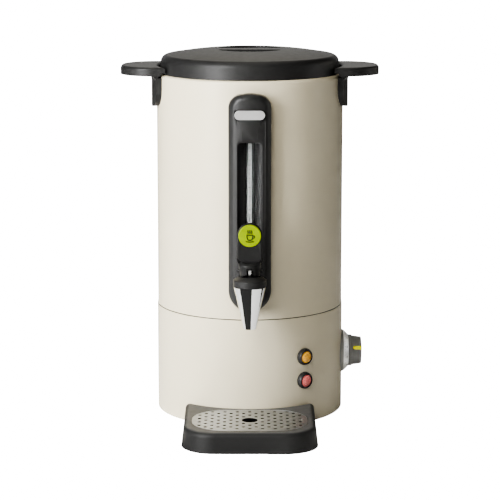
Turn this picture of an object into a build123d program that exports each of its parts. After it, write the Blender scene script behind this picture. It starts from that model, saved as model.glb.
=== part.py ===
"""Hot water urn: a double-walled boiler with a lever tap, a level gauge and a drip tray.

Millimetres, +Z up. The body's axis is X = Y = 0, the surface it stands on is Z = 0,
the tap and the tray face -Y and the thermostat knob is on +X.
"""

import os
from math import asin, cos, degrees, radians, sin, sqrt

from build123d import *

# ---- body shells -------------------------------------------------------------------------
jacket_r = 111.0
jacket_h = 278.0
base_step = 0.6  # the base shell stands this much proud of the jacket
shell_wall = 0.9
shell_round = 0.8
seam_z = 129.0  # middle of the gap between the base shell and the jacket
seam_gap = 1.0
rim_round = 4.0
lip_w = 5.6  # the jacket's top rolls in by this much
base_flange_w = 11.0
skirt_foot = 0.9  # from the ground to the base shell's lower edge
foot_h = 2.6
foot_w = 13.0
foot_inset = 14.2  # from the base shell's inside to the foot ring
foot_round = 0.8
plate_t = 1.0
plate_gap = 3.0  # from the base shell's inside to the base plate
vents = 12
vent_ring = 60.0
vent_l = 20.0
vent_w = 3.0

# ---- seam ring ---------------------------------------------------------------------------
ring_collar_h = 8.0  # the ring's collar goes this far up and down from the seam
ring_collar_t = 1.4
ring_recess = 0.5  # the seam's floor lies this far inside the jacket's outside
shelf_t = 1.6
shelf_gap = 6.0  # between the heater and the shelf that carries the tank

# ---- tank --------------------------------------------------------------------------------
tank_gap = 7.0  # from the jacket's outside to the tank's inside
tank_wall = 0.8
tank_lift = 5.0  # the tank's floor above the seam
tank_corner = 8.0
tank_flange_w = 3.0

# ---- clearances --------------------------------------------------------------------------
seat_gap = 0.3  # between a moving piece and what it rests on
fit_gap = 0.1  # between fixed pieces that nest
run_gap = 0.08  # radial, for shafts and pins that turn or slide
bolt_gap = 0.05  # radial, round a screw's shank or a part that is pushed in
pin_gap = 0.02  # radial, round the lever's pin, which stays still in the lever
cut_over = 1.0  # a cut runs this far past the face that it opens

# ---- lid ---------------------------------------------------------------------------------
lid_step = 4.0  # the lid's rim stands this far inside the jacket
lid_h = 27.7
lid_wall = 2.5
lid_side_h = 14.3
shoulder_step = 1.0
dome_edge_w = 10.2
dome_mid_drop = 2.0
dome_edge_drop = 6.2
shoulder_mid_w = 3.8
shoulder_mid_drop = 8.3
recess_r = 40.5
recess_depth = 23.2
recess_corner = 4.0
crown_land = 2.0  # flat of the crown round the recess
grip_w = 26.0
grip_round = 1.2
liner_gap = 0.6
liner_t = 1.0
liner_skirt = 12.0
lid_seal_t = 0.9
lid_seal_h = 4.0
lid_seal_rise = 5.0
lid_boss_r = 4.0
lid_boss_ring = 76.0
lid_bosses = 3

# ---- handles -----------------------------------------------------------------------------
handle_out = 42.5  # from the jacket to the handle's tip
handle_half_w = 47.0
handle_t = 10.3
handle_rise = 9.5  # the handle's top above the jacket's rim
handle_corner = 41.0
handle_round = 3.0
handle_web = 7.0
leg_t = 6.0
leg_drop = 38.5  # the leg's bottom below the jacket's rim
leg_half_w = 41.0
leg_toe_half_w = 18.0
leg_straight = 14.0
leg_bevel = 1.5
lid_gap = 2.5
relief_w = 3.4
relief_h = 2.6
relief_corner = 1.0

# ---- front panel -------------------------------------------------------------------------
panel_half_w = 24.5
panel_rise = 12.0  # the panel's bottom above the seam
panel_drop = 13.3  # the panel's top below the jacket's rim
panel_depth = 17.0  # from the jacket's front to the panel's face
panel_back = 8.0  # the panel's sides are drawn this far behind the jacket's front
panel_round = 7.0
panel_corner = 16.0
panel_crown = 1.2
panel_wall = 1.9
badge_w = 34.8
badge_h = 10.8
badge_t = 1.6
badge_drop = 23.8
badge_sink = 1.2
badge_ring = 0.9
badge_round = 0.5
pocket_half_w = 13.8
pocket_drop = 55.5
pocket_rise = 52.0  # the pocket's bottom above the shank
pocket_floor = 1.5  # thickness of the pocket's floor over the jacket
pocket_top_corner = 5.0
pocket_bottom_corner = 2.0
pocket_edge = 0.6
socket_block_h = 13.0
socket_end = 1.0

# ---- level gauge -------------------------------------------------------------------------
glass_r = 5.6
glass_wall = 1.2
glass_socket = 8.0  # length of glass inside each seal
seal_t = 0.65
strip_w = 5.4
strip_t = 0.5
strip_rise = 14.0  # the strip's bottom above the pocket's
strip_end = 1.0
port_wall = 0.65
port_half = 5.0
port_neck = 3.0
port_bore = 2.5

# ---- tap ---------------------------------------------------------------------------------
tap_y = 39.0  # the tap's axis in front of the jacket
shank_rise = 21.0  # the shank above the panel's bottom
shank_r = 8.5
shank_bore = 5.5
shank_inside = 9.0  # the shank reaches this far into the tank
tap_flange_r = 12.5
tap_flange_t = 1.7
washer_t = 1.0
tap_seal_t = 2.5
spout_drop = 34.0  # the spout's tip below the shank
spout_tip_r = 7.6
spout_bore = 5.0
spout_mid_drop = 10.0
spout_mid_r = 12.7
spout_head = 14.8  # the spout's top above the shank
spout_top_r = 18.6
seat_drop = 9.0
chamber_r = 10.0
neck_r = 14.5
neck_h = 7.0
collar_r = 19.0
collar_h = 12.0
collar_band = 7.9
collar_round = 1.0
collar_top_r = 12.8
collar_roof = 3.4
nut_flats = 22.0
nut_t = 5.0

# ---- lever and valve ---------------------------------------------------------------------
pin_rise = 6.7  # the pin above the collar's top
pin_r = 1.2
pin_half = 14.6
stem_w = 3.0
stem_depth = 6.0
stem_rod_r = 2.0
stem_socket = 2.0
cup_r = 7.5
cup_lip = 0.4
cup_skirt_h = 1.6
cup_edge_h = 1.0
cup_neck_r = 4.4
cup_neck_h = 4.0
cup_h = 7.0
spring_seat_r = 5.4
spring_seat_t = 1.5
spring_r = 4.4
spring_wire = 0.9
spring_turns = 5
lever_foot_h = 14.4
foot_bottom_r = 10.9
foot_top_r = 12.2
foot_bevel_w = 2.4
foot_bevel_h = 1.5
heel_flat = 5.5  # flat of the lever's foot in front of the pin
heel_cut = 1.0
heel_rise = 3.0
paddle_half_w = 14.15
paddle_rise = 40.5
paddle_front = 4.6  # the paddle's face in front of the tap's axis
paddle_t = 7.4
paddle_sink = 1.0
paddle_corner = 2.0
paddle_round = 1.2
disc_r = 12.9
disc_t = 2.2
disc_sink = 1.4
disc_round = 0.8
slot_w = 6.4

# ---- lamps -------------------------------------------------------------------------------
lamp_turn = 35.0  # degrees to the right of the front
amber_z = 81.0
red_z = 52.7
lamp_flange_r = 10.0
lamp_edge_h = 0.6
lamp_back = 2.0
lamp_face_r = 8.1
lamp_face_h = 3.8
lamp_tube_r = 6.4
lamp_tube_l = 20.0
lens_r = 6.9
lens_seat = 1.4
lens_h = 5.6
lens_dome = 2.0
lamp_nut_r = 9.5
lamp_nut_t = 2.6
lamp_nut_gap = 0.45

# ---- thermostat --------------------------------------------------------------------------
dial_z = 67.4
dial_r = 26.0
dial_face_r = 25.0
dial_face = 1.8  # the flange's face stands this far off the base shell
dial_back = 5.0
dial_bore = 9.6
ring_back_r = 24.7
ring_front_r = 19.2
ring_h = 6.3
ring_rim = 0.8
ring_wall = 1.8
knob_skirt_r = 19.0
knob_skirt_h = 4.1
knob_back_r = 17.8
knob_front_r = 16.4
knob_h = 15.4
knob_edge = 0.8
knob_dome = 0.9
knob_wall = 2.2
hub_r = 6.0
pointer_w = 3.6
pointer_turn = 22.0  # degrees above the horizontal, towards the front
pointer_proud = 0.4
pointer_deep = 1.6
pointer_end = 1.2
shaft_r = 3.0
shaft_flat = 1.0  # depth of the flat on the shaft
bush_r = 5.0
thermo_w = 40.0
thermo_t = 24.0
thermo_corner = 3.0
thermo_boss_r = 10.0
thermo_boss_h = 3.6
thermo_shim = 0.5  # between the boss and the base shell
thermo_nut_flats = 14.0
thermo_nut_t = 2.2

# ---- heater ------------------------------------------------------------------------------
heater_r = 80.0
heater_t = 5.0
element_inset = 18.0
element_r = 3.6
element_gap = 32.0  # between the element's two ends
element_leg = 24.0
clamp_w = 18.0
clamp_t = 2.0
stud_r = 3.0
stud_end = 6.0
clamp_nut_flats = 10.0
clamp_nut_t = 4.0
cutout_r = 9.0
cutout_h = 8.0
cutout_y = 32.0
tab_pitch = 10.0
tab_t = 0.8
tab_w = 6.3
tab_l = 7.0
bulb_r = 3.0
bulb_half = 34.0
bulb_y = -30.0
capillary_r = 0.8
capillary_bend = 5.0

# ---- power inlet -------------------------------------------------------------------------
inlet_z = 44.0
inlet_w = 28.0
inlet_h = 20.2
inlet_deep = 20.0
socket_w = 24.6
socket_h = 16.6
socket_deep = 15.0
socket_chamfer = 4.0
bezel_w = 54.0
bezel_h = 30.0
bezel_proud = 2.2
bezel_deep = 9.0
bezel_corner = 6.0
bezel_edge = 0.8
blade_w = 2.0
blade_h = 4.0
blade_pitch = 14.0
blade_offset = 4.0
blade_recess = 3.0
blade_tail = 8.0
inlet_screw_pitch = 41.0
block_y = 55.0
block_w = 42.0
block_d = 20.0
block_h = 15.0
block_corner = 1.5
block_hole_r = 1.8
block_port_r = 2.6
block_port_deep = 3.0

# ---- drip tray ---------------------------------------------------------------------------
tray_h = 23.3
tray_side_w = 11.55  # from the grille to the tray's side
tray_front_w = 14.2  # from the grille to the tray's front
tray_draft = 2.8
tray_corner = 38.0
tray_back_gap = 0.5
tray_round = 6.0
tray_back_round = 1.2
tray_wall = 2.4
tray_deck_t = 5.4
tray_floor_z = 4.0
grille_w = 132.5
grille_d = 91.0
grille_back = 3.9  # from the base shell to the grille
grille_corner = 40.0
grille_t = 1.0
grille_gap = 0.4
grille_ledge = 3.0
hole_r = 1.9
hole_pitch = 7.2
hole_margin = 4.2
finger_r = 9.0

# ---- screws ------------------------------------------------------------------------------
screw_r = 2.0
screw_head_r = 3.6
screw_head_h = 2.0
screw_boss_wall = 2.4
handle_screw_drop = 19.0
handle_screw_turn = 9.0
handle_screw_cover = 1.5  # plastic left in front of a handle screw's hole
panel_screw_x = 14.0
panel_screw_drop = 10.7
panel_screw_l = 12.0
screw_hole_over = 1.0
base_screws_n = 3
base_screw_l = 6.0
inlet_screw_l = 9.0
inlet_head_h = 1.4
lid_screw_l = 12.0

# ---- values worked out from the ones above -----------------------------------------------
rim_z = seam_z + jacket_h
base_r = jacket_r + base_step
base_bottom_z = foot_h + plate_t
jacket_bottom_z = seam_z + seam_gap / 2
base_top_z = seam_z - seam_gap / 2
jacket_in = jacket_r - shell_wall
base_in = base_r - shell_wall
lip_r = jacket_r - lip_w
foot_out = base_in - foot_inset
base_screw_ring = (base_in + foot_out) / 2
tank_r = jacket_r - tank_gap
tank_out = tank_r + tank_wall
tank_flange_r = tank_r + tank_flange_w
tank_floor_z = seam_z + tank_lift
tank_under_z = tank_floor_z - tank_wall
tank_weld_z = tank_floor_z + tank_corner  # where the pan is welded to the tank's wall
lid_r = jacket_r - lid_step
lid_bottom_z = rim_z + seat_gap
crown_z = lid_bottom_z + lid_h
handle_reach = jacket_r + handle_out
handle_top_z = rim_z + handle_rise
handle_under_z = handle_top_z - handle_t
handle_screw_z = rim_z - handle_screw_drop
leg_bottom_z = rim_z - leg_drop
leg_in = jacket_r + fit_gap
leg_out = leg_in + leg_t
panel_bottom_z = seam_z + panel_rise
panel_top_z = rim_z - panel_drop
panel_screw_z = panel_top_z - panel_screw_drop
panel_screw_seat = sqrt(jacket_in**2 - (panel_screw_x + screw_head_r) ** 2) - fit_gap
panel_face = jacket_r + panel_depth
badge_z = panel_top_z - badge_drop
shank_z = panel_bottom_z + shank_rise
pocket_top_z = panel_top_z - pocket_drop
pocket_bottom_z = shank_z + pocket_rise
pocket_back = jacket_r + fit_gap + pocket_floor
glass_axis = pocket_back + strip_t + glass_r + fit_gap
port_top_z = pocket_bottom_z - glass_socket
glass_top_z = pocket_top_z + glass_socket
glass_bottom_z = port_top_z - glass_socket
strip_bottom_z = pocket_bottom_z + strip_rise
strip_top_z = pocket_top_z - strip_end
tap_axis = jacket_r + tap_y
spout_tip_z = shank_z - spout_drop
spout_mid_z = shank_z - spout_mid_drop
spout_top_z = shank_z + spout_head
seat_z = shank_z - seat_drop
collar_top_z = spout_top_z + collar_h
foot_bottom_z = collar_top_z + seat_gap
foot_top_z = foot_bottom_z + lever_foot_h
pin_z = collar_top_z + pin_rise
paddle_centre_z = pin_z + paddle_rise
heater_z = tank_under_z - heater_t
element_ring = heater_r - element_inset
knob_back = dial_face + ring_h + seat_gap
knob_front = knob_back + knob_h
grille_z = tray_h - grille_t
grille_y = base_r + grille_back + grille_d / 2
tray_front = grille_y + grille_d / 2 + tray_front_w
tray_half_w = grille_w / 2 + tray_side_w

front = Plane.XZ
tap_line = Axis((0, -tap_axis, 0), (0, 0, 1))
tap_section = Plane((0, -tap_axis, 0), x_dir=(1, 0, 0), z_dir=(0, -1, 0))
dial_plane = Plane((base_r, 0, dial_z), x_dir=(0, 1, 0), z_dir=(1, 0, 0))
inlet_plane = Plane((0, base_r, inlet_z), x_dir=(-1, 0, 0), z_dir=(0, 1, 0))
lamp_away = (sin(radians(lamp_turn)), -cos(radians(lamp_turn)), 0)
lamp_along = (cos(radians(lamp_turn)), sin(radians(lamp_turn)), 0)


def lamp_plane(z):
    """The plane on the base shell where a lamp sits, facing outwards."""
    return Plane((base_r * lamp_away[0], base_r * lamp_away[1], z), x_dir=lamp_along, z_dir=lamp_away)


def radial_plane(turn, z, r=0):
    """The plane at height z and radius r whose normal points away from the body's axis."""
    away = (cos(radians(turn)), sin(radians(turn)), 0)
    along = (-sin(radians(turn)), cos(radians(turn)), 0)
    return Plane((r * away[0], r * away[1], z), x_dir=along, z_dir=away)


def section_through(plane):
    """A plane that holds another plane's normal as its Y direction, for turned pieces."""
    return Plane(plane.origin, x_dir=plane.x_dir, z_dir=plane.x_dir.cross(plane.z_dir))


def dome_radius(r, height):
    """The radius of the sphere that domes a disc of radius r by the height."""
    return (r**2 + height**2) / (2 * height)


def outline(*points):
    """Fill the closed outline through the points, in the sketch that is being drawn."""
    with BuildLine() as loop:
        Polyline(*points, close=True)
    make_face(loop.edges())


# ==== base ================================================================================
with BuildPart() as foot_ring:
    with BuildSketch(Plane.XZ) as foot_section:
        with Locations((foot_out, 0)):
            Rectangle(foot_w, foot_h, align=(Align.MAX, Align.MIN))
        fillet(foot_section.vertices().group_by(Axis.Y)[0], foot_round)
    revolve(axis=Axis.Z)

with BuildPart() as base_plate:
    with BuildSketch(Plane.XY.offset(foot_h)):
        Circle(base_in - plate_gap)
        with PolarLocations(base_screw_ring, base_screws_n, 90):
            Circle(screw_r + bolt_gap, mode=Mode.SUBTRACT)
        with PolarLocations(vent_ring, vents):
            SlotOverall(vent_l, vent_w, mode=Mode.SUBTRACT)
    extrude(amount=plate_t)

with BuildPart() as base_shell:
    with BuildSketch(Plane.XZ) as base_section:
        outline(
            (base_r - base_flange_w, base_bottom_z),
            (base_in, base_bottom_z),
            (base_in, skirt_foot),
            (base_r, skirt_foot),
            (base_r, base_top_z),
            (base_in, base_top_z),
            (base_in, base_bottom_z + shell_wall),
            (base_r - base_flange_w, base_bottom_z + shell_wall),
        )
        outer_corner = base_section.vertices().sort_by(Axis.Y)[:2].sort_by(Axis.X)[-1]
        fillet(outer_corner, shell_round)
    revolve(axis=Axis.Z)
    with BuildSketch(lamp_plane(amber_z), lamp_plane(red_z)):
        Circle(lamp_tube_r + fit_gap)
    extrude(amount=-lamp_tube_l, mode=Mode.SUBTRACT)
    with BuildSketch(dial_plane):
        Circle(bush_r + fit_gap)
    extrude(amount=-thermo_t, mode=Mode.SUBTRACT)
    with BuildSketch(inlet_plane):
        Rectangle(inlet_w + 2 * fit_gap, inlet_h + 2 * fit_gap)
        with GridLocations(inlet_screw_pitch, 0, 2, 1):
            Circle(screw_r + bolt_gap)
    extrude(amount=-inlet_deep, mode=Mode.SUBTRACT)
    with BuildSketch(Plane.XY.offset(base_bottom_z)):
        with PolarLocations(base_screw_ring, base_screws_n, 90):
            Circle(screw_r + bolt_gap)
    extrude(amount=shell_wall, mode=Mode.SUBTRACT)

with BuildPart() as base_screws:
    with BuildSketch(Plane.XY.offset(foot_h - screw_head_h)):
        with PolarLocations(base_screw_ring, base_screws_n, 90):
            Circle(screw_head_r)
    extrude(amount=screw_head_h)
    with BuildSketch(Plane.XY.offset(foot_h)):
        with PolarLocations(base_screw_ring, base_screws_n, 90):
            Circle(screw_r)
    extrude(amount=base_screw_l)

# The seam ring centres both shells and carries the tank on its shelf.
ring_in = jacket_in - fit_gap - ring_collar_t
shelf_in = heater_r + shelf_gap
with BuildPart() as joint_ring:
    with BuildSketch(Plane.XZ):
        outline(
            (base_in - fit_gap, seam_z - ring_collar_h),
            (base_in - fit_gap, base_top_z),
            (jacket_r - ring_recess, base_top_z),
            (jacket_r - ring_recess, jacket_bottom_z),
            (jacket_in - fit_gap, jacket_bottom_z),
            (jacket_in - fit_gap, seam_z + ring_collar_h),
            (ring_in, seam_z + ring_collar_h),
            (ring_in, tank_under_z),
            (shelf_in, tank_under_z),
            (shelf_in, tank_under_z - shelf_t),
            (ring_in, tank_under_z - shelf_t),
            (ring_in, seam_z - ring_collar_h),
        )
    revolve(axis=Axis.Z)

# ==== jacket and tank =====================================================================
handle_screw_turns = [side + turn for side in (0, 180) for turn in (-handle_screw_turn, handle_screw_turn)]
with BuildPart() as jacket:
    with BuildSketch(Plane.XZ):
        with BuildLine():
            Line((jacket_r, jacket_bottom_z), (jacket_r, rim_z - rim_round))
            CenterArc((jacket_r - rim_round, rim_z - rim_round), rim_round, 0, 90)
            Line((jacket_r - rim_round, rim_z), (lip_r, rim_z))
            Line((lip_r, rim_z), (lip_r, rim_z - shell_wall))
            Line((lip_r, rim_z - shell_wall), (jacket_r - rim_round, rim_z - shell_wall))
            CenterArc((jacket_r - rim_round, rim_z - rim_round), rim_round - shell_wall, 0, 90)
            Line((jacket_in, rim_z - rim_round), (jacket_in, jacket_bottom_z))
            Line((jacket_in, jacket_bottom_z), (jacket_r, jacket_bottom_z))
        make_face()
    revolve(axis=Axis.Z)
    with BuildSketch(front.offset(tank_out + cut_over)):
        with Locations((0, shank_z)):
            Circle(shank_r + fit_gap)
        with Locations((-panel_screw_x, panel_screw_z), (panel_screw_x, panel_screw_z)):
            Circle(screw_r + bolt_gap)
    extrude(amount=jacket_r - tank_out, mode=Mode.SUBTRACT)
    for turn in handle_screw_turns:
        with BuildSketch(radial_plane(turn, handle_screw_z)):
            Circle(screw_r + bolt_gap)
        extrude(amount=jacket_r + cut_over, mode=Mode.SUBTRACT)

with BuildPart() as tank_pan:
    with BuildSketch(Plane.XZ):
        with BuildLine():
            Line((0, tank_floor_z), (tank_r - tank_corner, tank_floor_z))
            CenterArc((tank_r - tank_corner, tank_weld_z), tank_corner, -90, 90)
            Line((tank_r, tank_weld_z), (tank_out, tank_weld_z))
            CenterArc((tank_r - tank_corner, tank_weld_z), tank_corner + tank_wall, -90, 90)
            Line((tank_r - tank_corner, tank_under_z), (0, tank_under_z))
            Line((0, tank_under_z), (0, tank_floor_z))
        make_face()
    revolve(axis=Axis.Z)

with BuildPart() as inner_tank:
    with BuildSketch(Plane.XZ):
        outline(
            (tank_r, tank_weld_z),
            (tank_r, rim_z - shell_wall),
            (tank_flange_r, rim_z - shell_wall),
            (tank_flange_r, rim_z - shell_wall - tank_wall),
            (tank_out, rim_z - shell_wall - tank_wall),
            (tank_out, tank_weld_z),
        )
    revolve(axis=Axis.Z)
    with BuildSketch(front.offset(tank_r - shank_inside)):
        with Locations((0, shank_z)):
            Circle(shank_r + fit_gap)
    extrude(amount=tank_gap + shank_inside, mode=Mode.SUBTRACT)

# ==== heater and thermostat, under the tank ===============================================
element_z = heater_z - element_r / 2
clamp_top_z = element_z - element_r
with BuildPart() as heater_plate:
    with BuildSketch(Plane.XY.offset(heater_z)):
        Circle(heater_r)
    extrude(amount=heater_t)
    with BuildSketch(Plane.XZ):
        with Locations((element_ring, element_z)):
            Circle(element_r + bolt_gap)
    revolve(axis=Axis.Z, mode=Mode.SUBTRACT)
    with BuildSketch(Plane.XY.offset(heater_z)):
        Circle(stud_r)
    extrude(amount=-(heater_z - clamp_top_z + clamp_t + stud_end))

element_half = degrees(asin(element_gap / 2 / element_ring))
element_ends = (-90 - element_half, -90 + element_half)
with BuildPart() as heating_element:
    with BuildSketch(Plane.XZ.rotated((0, 0, element_ends[1]))):
        with Locations((element_ring, element_z)):
            Circle(element_r)
    revolve(axis=Axis.Z, revolution_arc=360 - 2 * element_half)
    for end in element_ends:
        elbow = (element_ring * cos(radians(end)), element_ring * sin(radians(end)), element_z)
        with Locations(elbow):
            Sphere(element_r)
        with Locations(elbow):
            Cylinder(element_r, element_leg, align=(Align.CENTER, Align.CENTER, Align.MAX))

with BuildPart() as heater_clamp:
    with BuildSketch(Plane.XY.offset(clamp_top_z)):
        SlotOverall(2 * (element_ring + clamp_w), clamp_w)
        Circle(stud_r + bolt_gap, mode=Mode.SUBTRACT)
    extrude(amount=-clamp_t)

with BuildPart() as clamp_nut:
    with BuildSketch(Plane.XY.offset(clamp_top_z - clamp_t)):
        RegularPolygon(clamp_nut_flats / 2, 6, major_radius=False)
        Circle(stud_r + bolt_gap, mode=Mode.SUBTRACT)
    extrude(amount=-clamp_nut_t)

with BuildPart() as thermal_cutout:
    with BuildSketch(Plane.XY.offset(heater_z)):
        with Locations((0, cutout_y)):
            Circle(cutout_r)
    extrude(amount=-cutout_h)
    with BuildSketch(Plane.XY.offset(heater_z - cutout_h)):
        with Locations((-tab_pitch / 2, cutout_y), (tab_pitch / 2, cutout_y)):
            Rectangle(tab_t, tab_w)
    extrude(amount=-tab_l)

bulb_z = heater_z - bulb_r - bolt_gap
with BuildPart() as thermostat_bulb:
    with BuildSketch(Plane.YZ.offset(-bulb_half)):
        with Locations((bulb_y, bulb_z)):
            Circle(bulb_r)
    extrude(amount=2 * bulb_half)

thermo_front = thermo_boss_h + shell_wall + thermo_shim
thermo_top_z = dial_z + thermo_w / 2
thermo_x = base_r - thermo_front - thermo_t / 2
with BuildPart() as thermostat_body:
    with BuildSketch(dial_plane.offset(-thermo_front)):
        RectangleRounded(thermo_w, thermo_w, thermo_corner)
    extrude(amount=-thermo_t)
    with BuildSketch(dial_plane.offset(-thermo_front)):
        Circle(thermo_boss_r)
    extrude(amount=thermo_boss_h)
    with BuildSketch(dial_plane.offset(-thermo_front)):
        Circle(bush_r)
    extrude(amount=thermo_front + dial_face + thermo_nut_t)
    with BuildSketch(dial_plane.offset(-thermo_front - thermo_t / 2)):
        Circle(shaft_r + run_gap)
    extrude(amount=thermo_front + thermo_t, mode=Mode.SUBTRACT)

with BuildPart() as capillary:
    with BuildLine() as capillary_route:
        FilletPolyline(
            (bulb_half, bulb_y, bulb_z),
            (bulb_half + 12, bulb_y, bulb_z),
            (bulb_half + 18, bulb_y + 4, bulb_z - 15),
            (thermo_x - 12, bulb_y + 12, thermo_top_z + 20),
            (thermo_x, 0, thermo_top_z + 14),
            (thermo_x, 0, thermo_top_z),
            radius=capillary_bend,
        )
    with BuildSketch(Plane((bulb_half, bulb_y, bulb_z), z_dir=(1, 0, 0))):
        Circle(capillary_r)
    sweep(path=capillary_route.wires()[0])

# ==== thermostat dial and knob, on +X =====================================================
dial_section = section_through(dial_plane)
dial_line = Axis(dial_plane.origin, dial_plane.z_dir)
with BuildPart() as dial_flange:
    with BuildSketch(dial_section):
        outline((dial_bore, -dial_back), (dial_r, -dial_back), (dial_r, 0), (dial_face_r, dial_face),
                (dial_bore, dial_face))
    revolve(axis=dial_line)
    with BuildSketch(Plane.XY):
        Circle(base_r + fit_gap)
    extrude(amount=2 * dial_z, mode=Mode.SUBTRACT)

with BuildPart() as thermostat_nut:
    with BuildSketch(dial_plane.offset(fit_gap)):
        RegularPolygon(thermo_nut_flats / 2, 6, major_radius=False)
        Circle(bush_r + bolt_gap, mode=Mode.SUBTRACT)
    extrude(amount=thermo_nut_t)

with BuildPart() as dial_ring:
    with BuildSketch(dial_section):
        outline(
            (ring_back_r - ring_wall, dial_face),
            (ring_back_r, dial_face),
            (ring_back_r, dial_face + ring_rim),
            (ring_front_r, dial_face + ring_h),
            (ring_front_r - ring_wall, dial_face + ring_h),
        )
    revolve(axis=dial_line)

pointer_side = (0, -cos(radians(pointer_turn)), sin(radians(pointer_turn)))
pointer_plane = Plane((base_r + knob_front, 0, dial_z), x_dir=(-1, 0, 0), z_dir=pointer_side)
pointer_len = knob_h - knob_skirt_h - pointer_end
with BuildPart() as control_knob:
    with BuildSketch(dial_section):
        with BuildLine():
            Polyline(
                (0, knob_back),
                (knob_skirt_r, knob_back),
                (knob_skirt_r, knob_back + knob_skirt_h - knob_edge),
                (knob_skirt_r - knob_edge, knob_back + knob_skirt_h),
                (knob_back_r, knob_back + knob_skirt_h),
                (knob_front_r, knob_front - knob_edge),
                (knob_front_r - knob_edge, knob_front),
            )
            RadiusArc((knob_front_r - knob_edge, knob_front), (0, knob_front + knob_dome),
                      -dome_radius(knob_front_r - knob_edge, knob_dome))
            Line((0, knob_front + knob_dome), (0, knob_back))
        make_face()
    revolve(axis=dial_line)
    with BuildSketch(dial_plane.offset(knob_back)):
        Circle(knob_front_r - knob_wall)
        Circle(hub_r, mode=Mode.SUBTRACT)
    extrude(amount=knob_h - knob_wall, mode=Mode.SUBTRACT)
    with BuildSketch(dial_plane.offset(knob_back)):
        Circle(shaft_r + bolt_gap)
        with Locations((0, shaft_r)):
            Rectangle(2 * shaft_r, 2 * (shaft_flat - bolt_gap), mode=Mode.SUBTRACT)
    extrude(amount=knob_h - knob_wall, mode=Mode.SUBTRACT)
    with BuildSketch(pointer_plane.offset(knob_front_r - pointer_deep)):
        with Locations((pointer_len / 2, 0)):
            Rectangle(pointer_len + 2 * bolt_gap, pointer_w + 2 * bolt_gap)
    extrude(amount=knob_skirt_r - knob_front_r + pointer_deep, mode=Mode.SUBTRACT)

with BuildPart() as knob_pointer:
    with BuildSketch(pointer_plane.offset(knob_front_r - pointer_deep + bolt_gap)):
        with Locations((pointer_len / 2, 0)):
            Rectangle(pointer_len, pointer_w)
    extrude(amount=knob_skirt_r - knob_front_r + pointer_deep)
    with BuildSketch(dial_section):
        outline(
            (0, knob_back),
            (knob_back_r + pointer_proud, knob_back + knob_skirt_h),
            (knob_front_r + pointer_proud, knob_front - pointer_proud),
            (knob_front_r - knob_edge, knob_front + pointer_proud / 2),
            (0, knob_front + pointer_proud / 2),
        )
    revolve(axis=dial_line, mode=Mode.INTERSECT)

with BuildPart() as thermostat_shaft:
    with BuildSketch(dial_plane.offset(-thermo_front - thermo_t / 2 + seat_gap)):
        Circle(shaft_r)
    extrude(amount=thermo_front + thermo_t / 2 - seat_gap + knob_back)
    with BuildSketch(dial_plane.offset(knob_back)):
        Circle(shaft_r)
        with Locations((0, shaft_r)):
            Rectangle(2 * shaft_r, 2 * shaft_flat, mode=Mode.SUBTRACT)
    extrude(amount=knob_h - knob_wall - seat_gap)

# ==== lamps ===============================================================================
# The lamp's flange is cut to the curve of the shell, and its tube is then added behind it.
lamps = {}
for name, z in (("amber", amber_z), ("red", red_z)):
    plane = lamp_plane(z)
    line = Axis(plane.origin, plane.z_dir)
    with BuildPart() as bezel:
        with BuildSketch(section_through(plane)):
            outline((0, -lamp_back), (lamp_flange_r, -lamp_back), (lamp_flange_r, lamp_edge_h),
                    (lamp_face_r, lamp_face_h), (0, lamp_face_h))
        revolve(axis=line)
        with BuildSketch(Plane.XY):
            Circle(base_r + bolt_gap)
        extrude(amount=2 * amber_z, mode=Mode.SUBTRACT)
        with BuildSketch(plane.offset(lens_seat)):
            Circle(lamp_tube_r)
        extrude(amount=-lamp_tube_l)
        with BuildSketch(plane.offset(lens_seat)):
            Circle(lens_r + bolt_gap)
        extrude(amount=lamp_face_h, mode=Mode.SUBTRACT)
    with BuildPart() as lens:
        with BuildSketch(section_through(plane)):
            with BuildLine():
                Line((0, lens_seat), (lens_r, lens_seat))
                Line((lens_r, lens_seat), (lens_r, lens_h - lens_dome))
                RadiusArc((lens_r, lens_h - lens_dome), (0, lens_h), -dome_radius(lens_r, lens_dome))
                Line((0, lens_h), (0, lens_seat))
            make_face()
        revolve(axis=line)
    lamps[name] = (bezel, lens)

with BuildPart() as lamp_nuts:
    for z in (amber_z, red_z):
        with BuildSketch(lamp_plane(z).offset(-shell_wall - lamp_nut_gap)):
            RegularPolygon(lamp_nut_r, 6)
            Circle(lamp_tube_r + bolt_gap, mode=Mode.SUBTRACT)
        extrude(amount=-lamp_nut_t)

# ==== power inlet, at the back ============================================================
with BuildPart() as inlet_bezel:
    with BuildSketch(inlet_plane.offset(bezel_proud)):
        RectangleRounded(bezel_w, bezel_h, bezel_corner)
    extrude(amount=-bezel_deep)
    chamfer(inlet_bezel.faces().sort_by(Axis.Y)[-1].edges(), bezel_edge)
    with BuildSketch(Plane.XY):
        Circle(base_r + fit_gap)
    extrude(amount=2 * inlet_z, mode=Mode.SUBTRACT)
    with BuildSketch(inlet_plane.offset(bezel_proud)):
        Rectangle(inlet_w + 2 * fit_gap, inlet_h + 2 * fit_gap)
        with GridLocations(inlet_screw_pitch, 0, 2, 1):
            Circle(screw_r + bolt_gap)
    extrude(amount=-bezel_deep, mode=Mode.SUBTRACT)

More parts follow.
